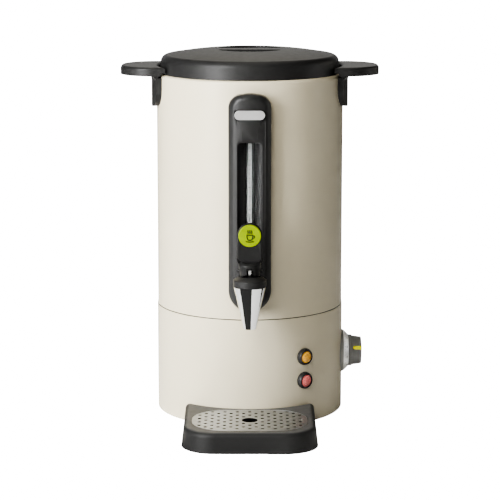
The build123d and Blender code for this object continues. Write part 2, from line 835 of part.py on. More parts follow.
blade_spots = (
    (-blade_pitch / 2, -blade_offset / 2),
    (blade_pitch / 2, -blade_offset / 2),
    (0, blade_offset / 2),
)
with BuildPart() as power_inlet:
    with BuildSketch(inlet_plane.offset(bezel_proud)):
        Rectangle(inlet_w, inlet_h)
    extrude(amount=-inlet_deep)
    with BuildSketch(inlet_plane.offset(bezel_proud)) as socket_sketch:
        Rectangle(socket_w, socket_h)
        chamfer(socket_sketch.vertices().group_by(Axis.Y)[-1], socket_chamfer)
    extrude(amount=-socket_deep, mode=Mode.SUBTRACT)
    with BuildSketch(inlet_plane.offset(bezel_proud)):
        with Locations(*blade_spots):
            Rectangle(blade_w + 2 * bolt_gap, blade_h + 2 * bolt_gap)
    extrude(amount=-inlet_deep, mode=Mode.SUBTRACT)

with BuildPart() as inlet_pins:
    with BuildSketch(inlet_plane.offset(bezel_proud - blade_recess)):
        with Locations(*blade_spots):
            Rectangle(blade_w, blade_h)
    extrude(amount=-(inlet_deep - blade_recess + blade_tail))

with BuildPart() as inlet_screws:
    with BuildSketch(inlet_plane.offset(bezel_proud)):
        with GridLocations(inlet_screw_pitch, 0, 2, 1):
            Circle(screw_head_r)
    extrude(amount=inlet_head_h)
    with BuildSketch(inlet_plane.offset(bezel_proud)):
        with GridLocations(inlet_screw_pitch, 0, 2, 1):
            Circle(screw_r)
    extrude(amount=-inlet_screw_l)

with BuildPart() as terminal_block:
    with BuildSketch(Plane.XY.offset(base_bottom_z)):
        with Locations((0, block_y)):
            RectangleRounded(block_w, block_d, block_corner)
            with GridLocations(block_w / 3, 0, 2, 1):
                Circle(block_hole_r, mode=Mode.SUBTRACT)
    extrude(amount=block_h)
    with BuildSketch(Plane.XY.offset(base_bottom_z + block_h)):
        with Locations((0, block_y)):
            with GridLocations(block_w / 3, block_d / 2, 3, 2):
                Circle(block_port_r)
    extrude(amount=-block_port_deep, mode=Mode.SUBTRACT)

# ==== front panel =========================================================================
panel_corners_z = panel_top_z - panel_corner
with BuildPart() as tap_panel:
    with BuildSketch(front.offset(jacket_r - panel_back)):
        with BuildLine():
            Line((-panel_half_w, panel_bottom_z + panel_half_w), (-panel_half_w, panel_corners_z))
            RadiusArc((-panel_half_w, panel_corners_z),
                      (-panel_half_w + panel_corner, panel_top_z - panel_crown), panel_corner)
            ThreePointArc((-panel_half_w + panel_corner, panel_top_z - panel_crown), (0, panel_top_z),
                          (panel_half_w - panel_corner, panel_top_z - panel_crown))
            RadiusArc((panel_half_w - panel_corner, panel_top_z - panel_crown),
                      (panel_half_w, panel_corners_z), panel_corner)
            Line((panel_half_w, panel_corners_z), (panel_half_w, panel_bottom_z + panel_half_w))
            CenterArc((0, panel_bottom_z + panel_half_w), panel_half_w, 0, -180)
        make_face()
    extrude(amount=panel_depth + panel_back)
    fillet(tap_panel.faces().sort_by(Axis.Y)[0].edges(), panel_round)
    # hollow behind, around the gauge's pocket, the screw bosses and the shank's boss
    with BuildSketch(front.offset(jacket_r - panel_back)):
        with Locations((0, (panel_bottom_z + panel_top_z) / 2)):
            SlotOverall(panel_top_z - panel_bottom_z - 2 * panel_round, 2 * (panel_half_w - panel_round), 90)
        with Locations((0, pocket_bottom_z - 2 * panel_wall)):
            Rectangle(2 * (pocket_half_w + panel_wall),
                      pocket_top_z + socket_block_h - pocket_bottom_z + 2 * panel_wall,
                      align=(Align.CENTER, Align.MIN), mode=Mode.SUBTRACT)
        with Locations((-panel_screw_x, panel_screw_z), (panel_screw_x, panel_screw_z)):
            Circle(screw_r + screw_boss_wall, mode=Mode.SUBTRACT)
    extrude(amount=panel_depth + panel_back - panel_wall, mode=Mode.SUBTRACT)
    with BuildSketch(front.offset(panel_face)) as pocket:
        with Locations((0, (pocket_top_z + pocket_bottom_z) / 2)):
            Rectangle(2 * pocket_half_w, pocket_top_z - pocket_bottom_z)
        fillet(pocket.vertices().group_by(Axis.Y)[-1], pocket_top_corner)
        fillet(pocket.vertices().group_by(Axis.Y)[0], pocket_bottom_corner)
    extrude(amount=pocket_back - panel_face, mode=Mode.SUBTRACT)
    pocket_rim = tap_panel.faces().sort_by(Axis.Y)[0].inner_wires().sort_by(SortBy.LENGTH)[-1]
    chamfer(pocket_rim.edges(), pocket_edge)
    with BuildSketch(front.offset(panel_face)):
        with Locations((0, badge_z)):
            SlotOverall(badge_w + 2 * badge_ring, badge_h + 2 * badge_ring)
        with Locations((0, shank_z)):
            Circle(shank_r + fit_gap)
    extrude(amount=-badge_sink, mode=Mode.SUBTRACT)
    with BuildSketch(front.offset(panel_face)):
        with Locations((0, shank_z)):
            Circle(shank_r + fit_gap)
    extrude(amount=-panel_depth, mode=Mode.SUBTRACT)
    with BuildSketch(front.offset(panel_screw_seat)):
        with Locations((-panel_screw_x, panel_screw_z), (panel_screw_x, panel_screw_z)):
            Circle(screw_r + bolt_gap)
    extrude(amount=panel_screw_l + screw_hole_over, mode=Mode.SUBTRACT)
    # the glass goes up into a blind socket and down through the pocket's floor to its port
    with BuildSketch(Plane.XY.offset(pocket_bottom_z - 2 * panel_wall)):
        with Locations((0, -glass_axis)):
            Circle(glass_r + seal_t + 2 * bolt_gap)
    extrude(amount=glass_top_z + socket_end - pocket_bottom_z + 2 * panel_wall, mode=Mode.SUBTRACT)
    with BuildSketch(Plane.XY):
        Circle(jacket_r + fit_gap)
    extrude(amount=rim_z, mode=Mode.SUBTRACT)

with BuildPart() as badge_plate:
    with BuildSketch(front.offset(panel_face - badge_sink)):
        with Locations((0, badge_z)):
            SlotOverall(badge_w, badge_h)
    extrude(amount=badge_t)
    fillet(badge_plate.faces().sort_by(Axis.Y)[0].edges(), badge_round)

with BuildPart() as panel_screws:
    with BuildSketch(front.offset(panel_screw_seat)):
        with GridLocations(2 * panel_screw_x, 0, 2, 1):
            with Locations((0, panel_screw_z)):
                Circle(screw_head_r)
    extrude(amount=-screw_head_h)
    with BuildSketch(front.offset(panel_screw_seat)):
        with GridLocations(2 * panel_screw_x, 0, 2, 1):
            with Locations((0, panel_screw_z)):
                Circle(screw_r)
    extrude(amount=panel_screw_l)

# ==== level gauge =========================================================================
with BuildPart() as sight_glass:
    with BuildSketch(Plane.XY.offset(glass_bottom_z)):
        with Locations((0, -glass_axis)):
            Circle(glass_r)
            Circle(glass_r - glass_wall, mode=Mode.SUBTRACT)
    extrude(amount=glass_top_z - glass_bottom_z)

with BuildPart() as gauge_strip:
    with BuildSketch(front.offset(pocket_back)):
        with Locations((0, strip_bottom_z)):
            Rectangle(strip_w, strip_top_z - strip_bottom_z, align=(Align.CENTER, Align.MIN))
    extrude(amount=strip_t)

with BuildPart() as gauge_seals:
    for z, cap in ((pocket_top_z, 1), (port_top_z, -1)):
        with BuildSketch(Plane.XY.offset(z)):
            with Locations((0, -glass_axis)):
                Circle(glass_r + seal_t)
                Circle(glass_r + bolt_gap / 2, mode=Mode.SUBTRACT)
        extrude(amount=cap * glass_socket)

port_axis_r = glass_r + seal_t + bolt_gap + port_wall
with BuildPart() as gauge_port:
    with BuildSketch(front.offset(glass_axis - port_half)):
        with Locations((0, shank_z)):
            Circle(shank_r + port_neck)
    extrude(amount=2 * port_half)
    with BuildSketch(Plane.XY.offset(shank_z)):
        with Locations((0, -glass_axis)):
            Circle(port_axis_r)
    extrude(amount=port_top_z - shank_z)
    with BuildSketch(front.offset(glass_axis - port_axis_r)):
        with Locations((0, shank_z)):
            Circle(shank_r + bolt_gap)
    extrude(amount=2 * port_axis_r, mode=Mode.SUBTRACT)
    with BuildSketch(Plane.XY.offset(shank_z)):
        with Locations((0, -glass_axis)):
            Circle(glass_r - glass_wall)
    extrude(amount=port_top_z - shank_z, mode=Mode.SUBTRACT)
    with BuildSketch(Plane.XY.offset(port_top_z)):
        with Locations((0, -glass_axis)):
            Circle(glass_r + seal_t + bolt_gap)
    extrude(amount=-glass_socket, mode=Mode.SUBTRACT)

# ==== tap =================================================================================
shank_end = tank_r - shank_inside
flange_back = panel_face + washer_t
with BuildPart() as tap_body:
    with BuildSketch(tap_section):
        with BuildLine():
            Line((0, spout_tip_z), (spout_tip_r, spout_tip_z))
            ThreePointArc((spout_tip_r, spout_tip_z), (spout_mid_r, spout_mid_z), (spout_top_r, spout_top_z))
            Polyline((spout_top_r, spout_top_z), (neck_r, spout_top_z), (neck_r, spout_top_z + neck_h),
                     (0, spout_top_z + neck_h), (0, spout_tip_z))
        make_face()
    revolve(axis=tap_line)
    with BuildSketch(front.offset(shank_end)):
        with Locations((0, shank_z)):
            Circle(shank_r)
    extrude(amount=tap_axis - shank_end)
    with BuildSketch(front.offset(flange_back)):
        with Locations((0, shank_z)):
            Circle(tap_flange_r)
    extrude(amount=tap_flange_t)
    with BuildSketch(tap_section):
        outline(
            (0, spout_tip_z),
            (spout_bore, spout_tip_z),
            (spout_bore, seat_z),
            (chamber_r, seat_z),
            (chamber_r, spout_top_z + neck_h),
            (0, spout_top_z + neck_h),
        )
    revolve(axis=tap_line, mode=Mode.SUBTRACT)
    with BuildSketch(front.offset(shank_end)):
        with Locations((0, shank_z)):
            Circle(shank_bore)
    extrude(amount=tap_axis - shank_end, mode=Mode.SUBTRACT)
    with BuildSketch(Plane.XY.offset(shank_z)):
        with Locations((0, -glass_axis)):
            Circle(port_bore)
    extrude(amount=shank_r + cut_over, mode=Mode.SUBTRACT)

with BuildPart() as tap_washer:
    with BuildSketch(front.offset(panel_face)):
        with Locations((0, shank_z)):
            Circle(tap_flange_r)
            Circle(shank_r + bolt_gap, mode=Mode.SUBTRACT)
    extrude(amount=washer_t)

# Silicone rings seal the shank on both sides of the tank's wall.
seal_face = tank_r - tap_seal_t
with BuildPart() as tap_seals:
    with BuildSketch(front.offset(seal_face)):
        with Locations((0, shank_z)):
            Circle(tap_flange_r)
    extrude(amount=jacket_r - seal_face)
    with BuildSketch(Plane.XY.offset(shank_z)):
        Circle(jacket_r + cut_over)
        Circle(jacket_in - bolt_gap, mode=Mode.SUBTRACT)
        Circle(tank_out + bolt_gap)
        Circle(tank_r - bolt_gap, mode=Mode.SUBTRACT)
    extrude(amount=tap_flange_r + cut_over, both=True, mode=Mode.SUBTRACT)
    with BuildSketch(front.offset(seal_face)):
        with Locations((0, shank_z)):
            Circle(shank_r + bolt_gap)
    extrude(amount=jacket_r - seal_face, mode=Mode.SUBTRACT)

with BuildPart() as tap_nut:
    with BuildSketch(front.offset(seal_face)):
        with Locations((0, shank_z)):
            RegularPolygon(nut_flats / 2, 6, major_radius=False)
            Circle(shank_r + bolt_gap, mode=Mode.SUBTRACT)
    extrude(amount=-nut_t)

with BuildPart() as tap_collar:
    with BuildSketch(tap_section) as collar_section:
        outline(
            (neck_r + bolt_gap, spout_top_z),
            (collar_r, spout_top_z),
            (collar_r, spout_top_z + collar_band),
            (collar_top_r, collar_top_z),
            (0, collar_top_z),
            (0, collar_top_z - collar_roof),
            (neck_r + bolt_gap, collar_top_z - collar_roof),
        )
        outer = collar_section.vertices().group_by(Axis.X)[-1]
        fillet(outer, collar_round)
    revolve(axis=tap_line)
    with BuildSketch(Plane.XY.offset(collar_top_z)):
        with Locations((0, -tap_axis)):
            Rectangle(stem_w + 2 * run_gap, stem_depth + 2 * run_gap)
    extrude(amount=-collar_roof, mode=Mode.SUBTRACT)

# ==== valve and lever =====================================================================
cup_bottom_z = seat_z + seat_gap
spring_seat_z = cup_bottom_z + cup_h
spring_bottom_z = spring_seat_z + spring_seat_t
spring_top_z = collar_top_z - collar_roof
with BuildPart() as valve_stem:
    with BuildSketch(Plane.XY.offset(cup_bottom_z + stem_socket)):
        with Locations((0, -tap_axis)):
            Circle(stem_rod_r)
    extrude(amount=spring_seat_z - cup_bottom_z - stem_socket)
    with BuildSketch(Plane.XY.offset(spring_seat_z)):
        with Locations((0, -tap_axis)):
            Circle(spring_seat_r)
    extrude(amount=spring_seat_t)
    with BuildSketch(Plane.YZ.offset(-stem_w / 2)):
        with Locations((-tap_axis, (spring_bottom_z + pin_z) / 2)):
            Rectangle(stem_depth, pin_z - spring_bottom_z)
        with Locations((-tap_axis, pin_z)):
            Circle(stem_depth / 2)
            Circle(pin_r + run_gap, mode=Mode.SUBTRACT)
    extrude(amount=stem_w)

with BuildPart() as seat_cup:
    with BuildSketch(tap_section):
        outline(
            (0, cup_bottom_z),
            (spout_bore + cup_lip, cup_bottom_z),
            (cup_r, cup_bottom_z + cup_skirt_h),
            (cup_r, cup_bottom_z + cup_skirt_h + cup_edge_h),
            (cup_neck_r, cup_bottom_z + cup_neck_h),
            (cup_neck_r, spring_seat_z),
            (0, spring_seat_z),
        )
    revolve(axis=tap_line)
    with BuildSketch(Plane.XY.offset(spring_seat_z)):
        with Locations((0, -tap_axis)):
            Circle(stem_rod_r + bolt_gap)
    extrude(amount=-(spring_seat_z - cup_bottom_z - stem_socket), mode=Mode.SUBTRACT)

spring_free = spring_top_z - spring_bottom_z - spring_wire
with BuildPart() as valve_spring:
    with BuildLine(Plane((0, -tap_axis, spring_bottom_z + spring_wire / 2))) as coil:
        Helix(spring_free / spring_turns, spring_free, spring_r)
    with BuildSketch(Plane((spring_r, -tap_axis, spring_bottom_z + spring_wire / 2),
                           x_dir=(1, 0, 0), z_dir=(0, 1, 0))):
        Circle(spring_wire / 2)
    sweep(path=coil.wires()[0], is_frenet=True)

paddle_face_y = -tap_axis - paddle_front
with BuildPart() as lever:
    with BuildSketch(front.offset(-paddle_face_y - paddle_t)) as paddle:
        with Locations((0, foot_top_z - paddle_sink)):
            Rectangle(2 * paddle_half_w, paddle_centre_z - foot_top_z + paddle_sink,
                      align=(Align.CENTER, Align.MIN))
        fillet(paddle.vertices().group_by(Axis.Y)[0], paddle_corner)
        with Locations((0, paddle_centre_z)):
            Circle(paddle_half_w)
    extrude(amount=paddle_t)
    fillet(lever.edges().group_by(Axis.Y)[0] + lever.edges().group_by(Axis.Y)[-1], paddle_round)
    with BuildSketch(tap_section):
        outline(
            (0, foot_bottom_z),
            (foot_bottom_r, foot_bottom_z),
            (foot_top_r, foot_top_z - foot_bevel_h),
            (foot_top_r - foot_bevel_w, foot_top_z),
            (0, foot_top_z),
        )
    revolve(axis=tap_line)
    with BuildSketch(front.offset(-paddle_face_y)):
        with Locations((0, paddle_centre_z)):
            Circle(disc_r + seat_gap)
    extrude(amount=-disc_sink, mode=Mode.SUBTRACT)
    # the heel's front is bevelled so that the foot rolls clear of the collar
    with BuildSketch(Plane.YZ.offset(-collar_r)):
        outline(
            (-tap_axis - heel_flat, foot_bottom_z),
            (-tap_axis - foot_bottom_r - heel_cut, foot_bottom_z),
            (-tap_axis - foot_bottom_r - heel_cut, foot_bottom_z + heel_rise),
        )
    extrude(amount=2 * collar_r, mode=Mode.SUBTRACT)
    with BuildSketch(Plane.XY.offset(foot_bottom_z)):
        with Locations((0, -tap_axis + stem_depth / 2 + seat_gap)):
            Rectangle(slot_w, foot_top_r + stem_depth, align=(Align.CENTER, Align.MAX))
    extrude(amount=pin_z + stem_depth / 2 + seat_gap - foot_bottom_z, mode=Mode.SUBTRACT)
    with BuildSketch(Plane.YZ.offset(-pin_half)):
        with Locations((-tap_axis, pin_z)):
            Circle(pin_r + pin_gap)
    extrude(amount=2 * pin_half, mode=Mode.SUBTRACT)

with BuildPart() as lever_disc:
    with BuildSketch(front.offset(-paddle_face_y - disc_sink)):
        with Locations((0, paddle_centre_z)):
            Circle(disc_r)
    extrude(amount=disc_t)
    fillet(lever_disc.faces().sort_by(Axis.Y)[0].edges(), disc_round)

with BuildPart() as lever_pin:
    with BuildSketch(Plane.YZ.offset(-pin_half)):
        with Locations((-tap_axis, pin_z)):
            Circle(pin_r)
    extrude(amount=2 * pin_half)

# ==== lid =================================================================================
crown_r = recess_r + crown_land
dome_edge_r = lid_r - dome_edge_w
shoulder_r = lid_r - shoulder_step
shoulder_z = lid_bottom_z + lid_side_h
recess_floor_z = crown_z - recess_depth
liner_top_z = recess_floor_z - lid_wall - liner_gap
liner_r = lid_r - lid_wall - liner_gap
lid_seal_in = tank_r - seat_gap - lid_seal_t


def lid_outline(inset, inner_r, inner_z):
    """The lid's section from its rim to the crown, moved in by inset, closed at inner_r and inner_z."""
    top = crown_z - inset
    edge = (dome_edge_r - inset * 0.2, top - dome_edge_drop)
    shoulder = (shoulder_r - inset, shoulder_z - inset * 0.2)
    middle = (lid_r - shoulder_mid_w - inset * 0.7, crown_z - shoulder_mid_drop - inset * 0.8)
    with BuildLine() as loop:
        Line((inner_r, top), (crown_r, top))
        ThreePointArc((crown_r, top), ((crown_r + dome_edge_r) / 2, top - dome_mid_drop), edge)
        ThreePointArc(edge, middle, shoulder)
        Polyline(shoulder, (lid_r - inset, lid_bottom_z), (inner_r, lid_bottom_z))
        Line((inner_r, lid_bottom_z), (inner_r, top))
    make_face(loop.edges())


with BuildPart() as lid_shell:
    with BuildSketch(Plane.XZ):
        lid_outline(0, 0, lid_bottom_z)
    revolve(axis=Axis.Z)
    with BuildSketch(Plane.XZ):
        lid_outline(lid_wall, 0, lid_bottom_z)
        with Locations((0, recess_floor_z - lid_wall)):
            Rectangle(recess_r + lid_wall, recess_depth + lid_wall, align=(Align.MIN, Align.MIN),
                      mode=Mode.SUBTRACT)
    revolve(axis=Axis.Z, mode=Mode.SUBTRACT)
    with BuildSketch(Plane.XY.offset(recess_floor_z)) as recess:
        Circle(recess_r)
        Rectangle(2 * recess_r, grip_w, mode=Mode.SUBTRACT)
        fillet(recess.vertices(), recess_corner)
    extrude(amount=recess_depth, mode=Mode.SUBTRACT)
    fillet(lid_shell.faces().sort_by(Axis.Z)[-1].inner_wires().edges(), grip_round)
    with BuildSketch(Plane.XY.offset(recess_floor_z - lid_wall)):
        RectangleRounded(2 * (recess_r - lid_wall - grip_round), grip_w - 2 * lid_wall, recess_corner)
    extrude(amount=recess_depth, mode=Mode.SUBTRACT)
    with BuildSketch(Plane.XY.offset(liner_top_z)):
        with PolarLocations(lid_boss_ring, lid_bosses, 90):
            Circle(lid_boss_r)
    extrude(amount=crown_z - dome_mid_drop - lid_wall - liner_top_z)
    with BuildSketch(Plane.XY.offset(liner_top_z)):
        with PolarLocations(lid_boss_ring, lid_bosses, 90):
            Circle(screw_r + bolt_gap)
    extrude(amount=lid_screw_l, mode=Mode.SUBTRACT)

with BuildPart() as lid_liner:
    with BuildSketch(Plane.XZ):
        outline(
            (0, liner_top_z),
            (liner_r, liner_top_z),
            (liner_r, liner_top_z - liner_t),
            (lid_seal_in, liner_top_z - liner_t),
            (lid_seal_in, liner_top_z - liner_skirt),
            (lid_seal_in - liner_t, liner_top_z - liner_skirt),
            (lid_seal_in - liner_t, liner_top_z - liner_t),
            (0, liner_top_z - liner_t),
        )
    revolve(axis=Axis.Z)
    with BuildSketch(Plane.XY.offset(liner_top_z)):
        with PolarLocations(lid_boss_ring, lid_bosses, 90):
            Circle(screw_r + bolt_gap)
    extrude(amount=-liner_t, mode=Mode.SUBTRACT)

with BuildPart() as lid_seal:
    with BuildSketch(Plane.XZ):
        with Locations((lid_seal_in, liner_top_z - liner_skirt + lid_seal_rise)):
            Rectangle(lid_seal_t, lid_seal_h, align=(Align.MIN, Align.CENTER))
    revolve(axis=Axis.Z)

with BuildPart() as lid_screws:
    with BuildSketch(Plane.XY.offset(liner_top_z - liner_t)):
        with PolarLocations(lid_boss_ring, lid_bosses, 90):
            Circle(screw_head_r)
    extrude(amount=-screw_head_h)
    with BuildSketch(Plane.XY.offset(liner_top_z - liner_t)):
        with PolarLocations(lid_boss_ring, lid_bosses, 90):
            Circle(screw_r)
    extrude(amount=lid_screw_l)

# ==== handles =============================================================================
leg_straight_z = handle_under_z - leg_straight
with BuildPart() as handle_right:
    # the leg wraps the jacket, with a fillet up to the plate, and is cut to its U shape
    with BuildSketch(Plane.XZ):
        with BuildLine():
            Polyline(
                (leg_out + handle_web, handle_under_z),
                (leg_in, handle_under_z),
                (leg_in, leg_bottom_z + leg_bevel),
                (leg_out, leg_bottom_z),
                (leg_out, handle_under_z - handle_web),
            )
            RadiusArc((leg_out, handle_under_z - handle_web), (leg_out + handle_web, handle_under_z),
                      handle_web)
        make_face()
    revolve(axis=Axis.Z)
    with BuildSketch(Plane.YZ) as leg_outline:
        with BuildLine():
            Line((-leg_half_w, handle_under_z + cut_over), (-leg_half_w, leg_straight_z))
            Spline((-leg_half_w, leg_straight_z), (-leg_toe_half_w, leg_bottom_z), tangents=((0, -1), (1, 0)))
            Line((-leg_toe_half_w, leg_bottom_z), (leg_toe_half_w, leg_bottom_z))
            Spline((leg_toe_half_w, leg_bottom_z), (leg_half_w, leg_straight_z), tangents=((1, 0), (0, 1)))
            Polyline((leg_half_w, leg_straight_z), (leg_half_w, handle_under_z + cut_over),
                     (-leg_half_w, handle_under_z + cut_over))
        make_face()
    extrude(amount=handle_reach, mode=Mode.INTERSECT)
    with BuildSketch(Plane.XY.offset(handle_under_z)) as plate_outline:
        with Locations((handle_reach, 0)):
            Rectangle(handle_reach - jacket_r / 2, 2 * handle_half_w, align=(Align.MAX, Align.CENTER))
        fillet(plate_outline.vertices().group_by(Axis.X)[-1], handle_corner)
        Circle(lid_r + lid_gap, mode=Mode.SUBTRACT)
    extrude(amount=handle_t)
    fillet(handle_right.faces().sort_by(Axis.Z)[-1].edges(), handle_round)
    with BuildSketch(Plane.XZ):
        outline(
            (lid_r, rim_z - rim_round),
            (leg_in, rim_z - rim_round),
            (leg_in + relief_w, rim_z - rim_round + relief_corner),
            (leg_in + relief_w, rim_z + relief_h - relief_corner),
            (leg_in + relief_w - relief_corner, rim_z + relief_h),
            (lid_r, rim_z + relief_h),
        )
    revolve(axis=Axis.Z, mode=Mode.SUBTRACT)
    for turn in (-handle_screw_turn, handle_screw_turn):
        with BuildSketch(radial_plane(turn, handle_screw_z)):
            Circle(screw_r + bolt_gap)
        extrude(amount=leg_out - handle_screw_cover, mode=Mode.SUBTRACT)

with BuildPart() as handle_left:
    mirror(handle_right.part, about=Plane.YZ)

with BuildPart() as handle_screws:
    for turn in handle_screw_turns:
        head_plane = radial_plane(turn, handle_screw_z, jacket_in - fit_gap)
        with BuildSketch(head_plane):
            Circle(screw_head_r)
        extrude(amount=-screw_head_h)
        with BuildSketch(head_plane):
            Circle(screw_r)
        extrude(amount=leg_out - handle_screw_cover - jacket_in - screw_hole_over / 2)


# ==== drip tray and grille ================================================================
def tray_outline(inset):
    """The tray's plan, moved in by inset, running back under the body."""
    width = 2 * (tray_half_w - inset)
    depth = tray_front - inset - base_r / 2
    with BuildSketch(mode=Mode.PRIVATE) as plan:
        with Locations((0, -base_r / 2)):
            Rectangle(width, depth, align=(Align.CENTER, Align.MAX))
        fillet(plan.vertices().group_by(Axis.Y)[0], tray_corner - inset)
    return plan.sketch


def grille_outline(inset):
    """The grille's plan, moved in by inset."""
    with Locations((0, -grille_y)):
        RectangleRounded(grille_w - 2 * inset, grille_d - 2 * inset, grille_corner - inset)


with BuildPart() as drip_tray:
    with BuildSketch(Plane.XY):
        add(tray_outline(0))
    with BuildSketch(Plane.XY.offset(tray_h)):
        add(tray_outline(tray_draft))
    loft(ruled=True)
    fillet(drip_tray.faces().sort_by(Axis.Z)[-1].edges().sort_by(Axis.Y)[:-1], tray_round)
    with BuildSketch(Plane.XY):
        Circle(base_r + tray_back_gap)
    extrude(amount=tray_h, mode=Mode.SUBTRACT)
    back_edge = drip_tray.faces().sort_by(Axis.Z)[-1].edges().sort_by(Axis.Y)[-1]
    fillet(back_edge, tray_back_round)
    with BuildSketch(Plane.XY):
        add(tray_outline(tray_draft + tray_wall))
        Circle(base_r + tray_back_gap + tray_wall, mode=Mode.SUBTRACT)
        grille_outline(grille_ledge - tray_wall)
    extrude(amount=tray_h - tray_deck_t, mode=Mode.SUBTRACT)
    with BuildSketch(Plane.XY):
        grille_outline(grille_ledge - tray_wall)
    extrude(amount=grille_z)
    with BuildSketch(Plane.XY):
        grille_outline(grille_ledge - tray_wall)
    extrude(amount=tray_floor_z - tray_wall, mode=Mode.SUBTRACT)
    with BuildSketch(Plane.XY.offset(tray_floor_z)):
        grille_outline(grille_ledge)
    extrude(amount=tray_h, mode=Mode.SUBTRACT)
    with BuildSketch(Plane.XY.offset(grille_z - seat_gap)):
        grille_outline(-grille_gap)
    extrude(amount=tray_h, mode=Mode.SUBTRACT)


def in_grille(x, y):
    """Whether a hole centred at x, y keeps its margin from the rim and from the finger hole."""
    corner = grille_corner - hole_margin
    out_x = max(abs(x) - (grille_w / 2 - grille_corner), 0)
    out_y = max(abs(y) - (grille_d / 2 - grille_corner), 0)
    return sqrt(out_x**2 + out_y**2) <= corner and sqrt(x**2 + y**2) > finger_r + hole_margin


columns = range(-int(grille_w / 2 / hole_pitch), int(grille_w / 2 / hole_pitch) + 1)
rows = range(-int(grille_d / 2 / hole_pitch), int(grille_d / 2 / hole_pitch) + 1)
hole_spots = [
    (column * hole_pitch, row * hole_pitch)
    for column in columns
    for row in rows
    if (column + row) % 2 == 1 and in_grille(column * hole_pitch, row * hole_pitch)
]
with BuildPart() as drip_grille:
    with BuildSketch(Plane.XY.offset(grille_z)):
        grille_outline(0)
        with Locations((0, -grille_y)):
            Circle(finger_r, mode=Mode.SUBTRACT)
            with Locations(*hole_spots):
                Circle(hole_r, mode=Mode.SUBTRACT)
    extrude(amount=grille_t)

# ==== named parts, one file each ==========================================================
parts = {
    "foot_ring": foot_ring,
    "base_plate": base_plate,
    "base_screws": base_screws,
    "base_shell": base_shell,
    "joint_ring": joint_ring,
    "jacket": jacket,
    "tank_pan": tank_pan,
    "inner_tank": inner_tank,
    "heater_plate": heater_plate,
    "heating_element": heating_element,
    "heater_clamp": heater_clamp,
    "clamp_nut": clamp_nut,
    "thermal_cutout": thermal_cutout,
    "thermostat_bulb": thermostat_bulb,
    "capillary": capillary,
    "thermostat_body": thermostat_body,
    "thermostat_nut": thermostat_nut,
    "thermostat_shaft": thermostat_shaft,
    "dial_flange": dial_flange,
    "dial_ring": dial_ring,
    "control_knob": control_knob,
    "knob_pointer": knob_pointer,
    "amber_bezel": lamps["amber"][0],
    "amber_lens": lamps["amber"][1],
    "red_bezel": lamps["red"][0],
    "red_lens": lamps["red"][1],
    "lamp_nuts": lamp_nuts,
    "inlet_bezel": inlet_bezel,
    "power_inlet": power_inlet,
    "inlet_pins": inlet_pins,
    "inlet_screws": inlet_screws,
    "terminal_block": terminal_block,
    "tap_panel": tap_panel,
    "badge_plate": badge_plate,
    "panel_screws": panel_screws,
    "sight_glass": sight_glass,
    "gauge_strip": gauge_strip,
    "gauge_seals": gauge_seals,
    "gauge_port": gauge_port,
    "tap_body": tap_body,
    "tap_washer": tap_washer,
    "tap_seals": tap_seals,
    "tap_nut": tap_nut,
    "tap_collar": tap_collar,
    "valve_stem": valve_stem,
    "seat_cup": seat_cup,
    "valve_spring": valve_spring,
    "lever": lever,
    "lever_disc": lever_disc,
    "lever_pin": lever_pin,
    "lid_shell": lid_shell,
    "lid_liner": lid_liner,
    "lid_seal": lid_seal,
    "lid_screws": lid_screws,
    "handle_left": handle_left,
    "handle_right": handle_right,
    "handle_screws": handle_screws,
    "drip_tray": drip_tray,
    "drip_grille": drip_grille,
}

os.makedirs("parts", exist_ok=True)
for name, piece in parts.items():
    piece.part.label = name
    export_step(piece.part, f"parts/{name}.step")
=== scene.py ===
"""Hot water urn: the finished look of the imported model, laid out as an add-on."""

from math import atan2, cos, pi, radians, sin, sqrt, tau

import bmesh
import bpy
from bpy.props import FloatProperty, FloatVectorProperty, IntProperty, PointerProperty
from mathutils import Matrix, Vector


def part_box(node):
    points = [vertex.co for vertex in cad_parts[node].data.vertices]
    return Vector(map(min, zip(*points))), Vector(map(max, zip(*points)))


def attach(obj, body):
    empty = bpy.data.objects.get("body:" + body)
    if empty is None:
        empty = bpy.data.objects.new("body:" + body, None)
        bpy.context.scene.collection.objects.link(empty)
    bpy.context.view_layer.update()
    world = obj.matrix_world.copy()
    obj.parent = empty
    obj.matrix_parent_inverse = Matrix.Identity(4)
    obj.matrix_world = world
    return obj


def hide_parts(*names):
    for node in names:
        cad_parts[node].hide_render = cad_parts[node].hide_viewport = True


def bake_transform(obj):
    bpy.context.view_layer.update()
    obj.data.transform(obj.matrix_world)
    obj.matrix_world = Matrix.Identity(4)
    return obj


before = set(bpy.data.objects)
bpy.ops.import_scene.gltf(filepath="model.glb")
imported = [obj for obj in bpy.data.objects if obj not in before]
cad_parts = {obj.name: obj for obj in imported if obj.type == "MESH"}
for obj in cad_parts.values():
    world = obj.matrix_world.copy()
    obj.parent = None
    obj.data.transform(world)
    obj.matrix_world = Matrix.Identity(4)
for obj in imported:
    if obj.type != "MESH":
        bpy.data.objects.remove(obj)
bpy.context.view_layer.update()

bl_info = {
    "name": "Hot water urn",
    "version": (1, 0, 0),
    "blender": (4, 5, 0),
    "location": "3D View > Sidebar > Urn",
    "description": "Builds the urn's visible pieces and finishes on its packed frame",
    "category": "Object",
}

MM = 0.001
WELD, HAIR = 1e-6, 1e-7  # points this close together, in metres, are merged
NOISE_LOW, NOISE_HIGH = 0.3, 0.7  # nearly all the values of a noise lie between these
ALONG_X = (12, 1, 1)  # how far the lines of brushed metal are stretched


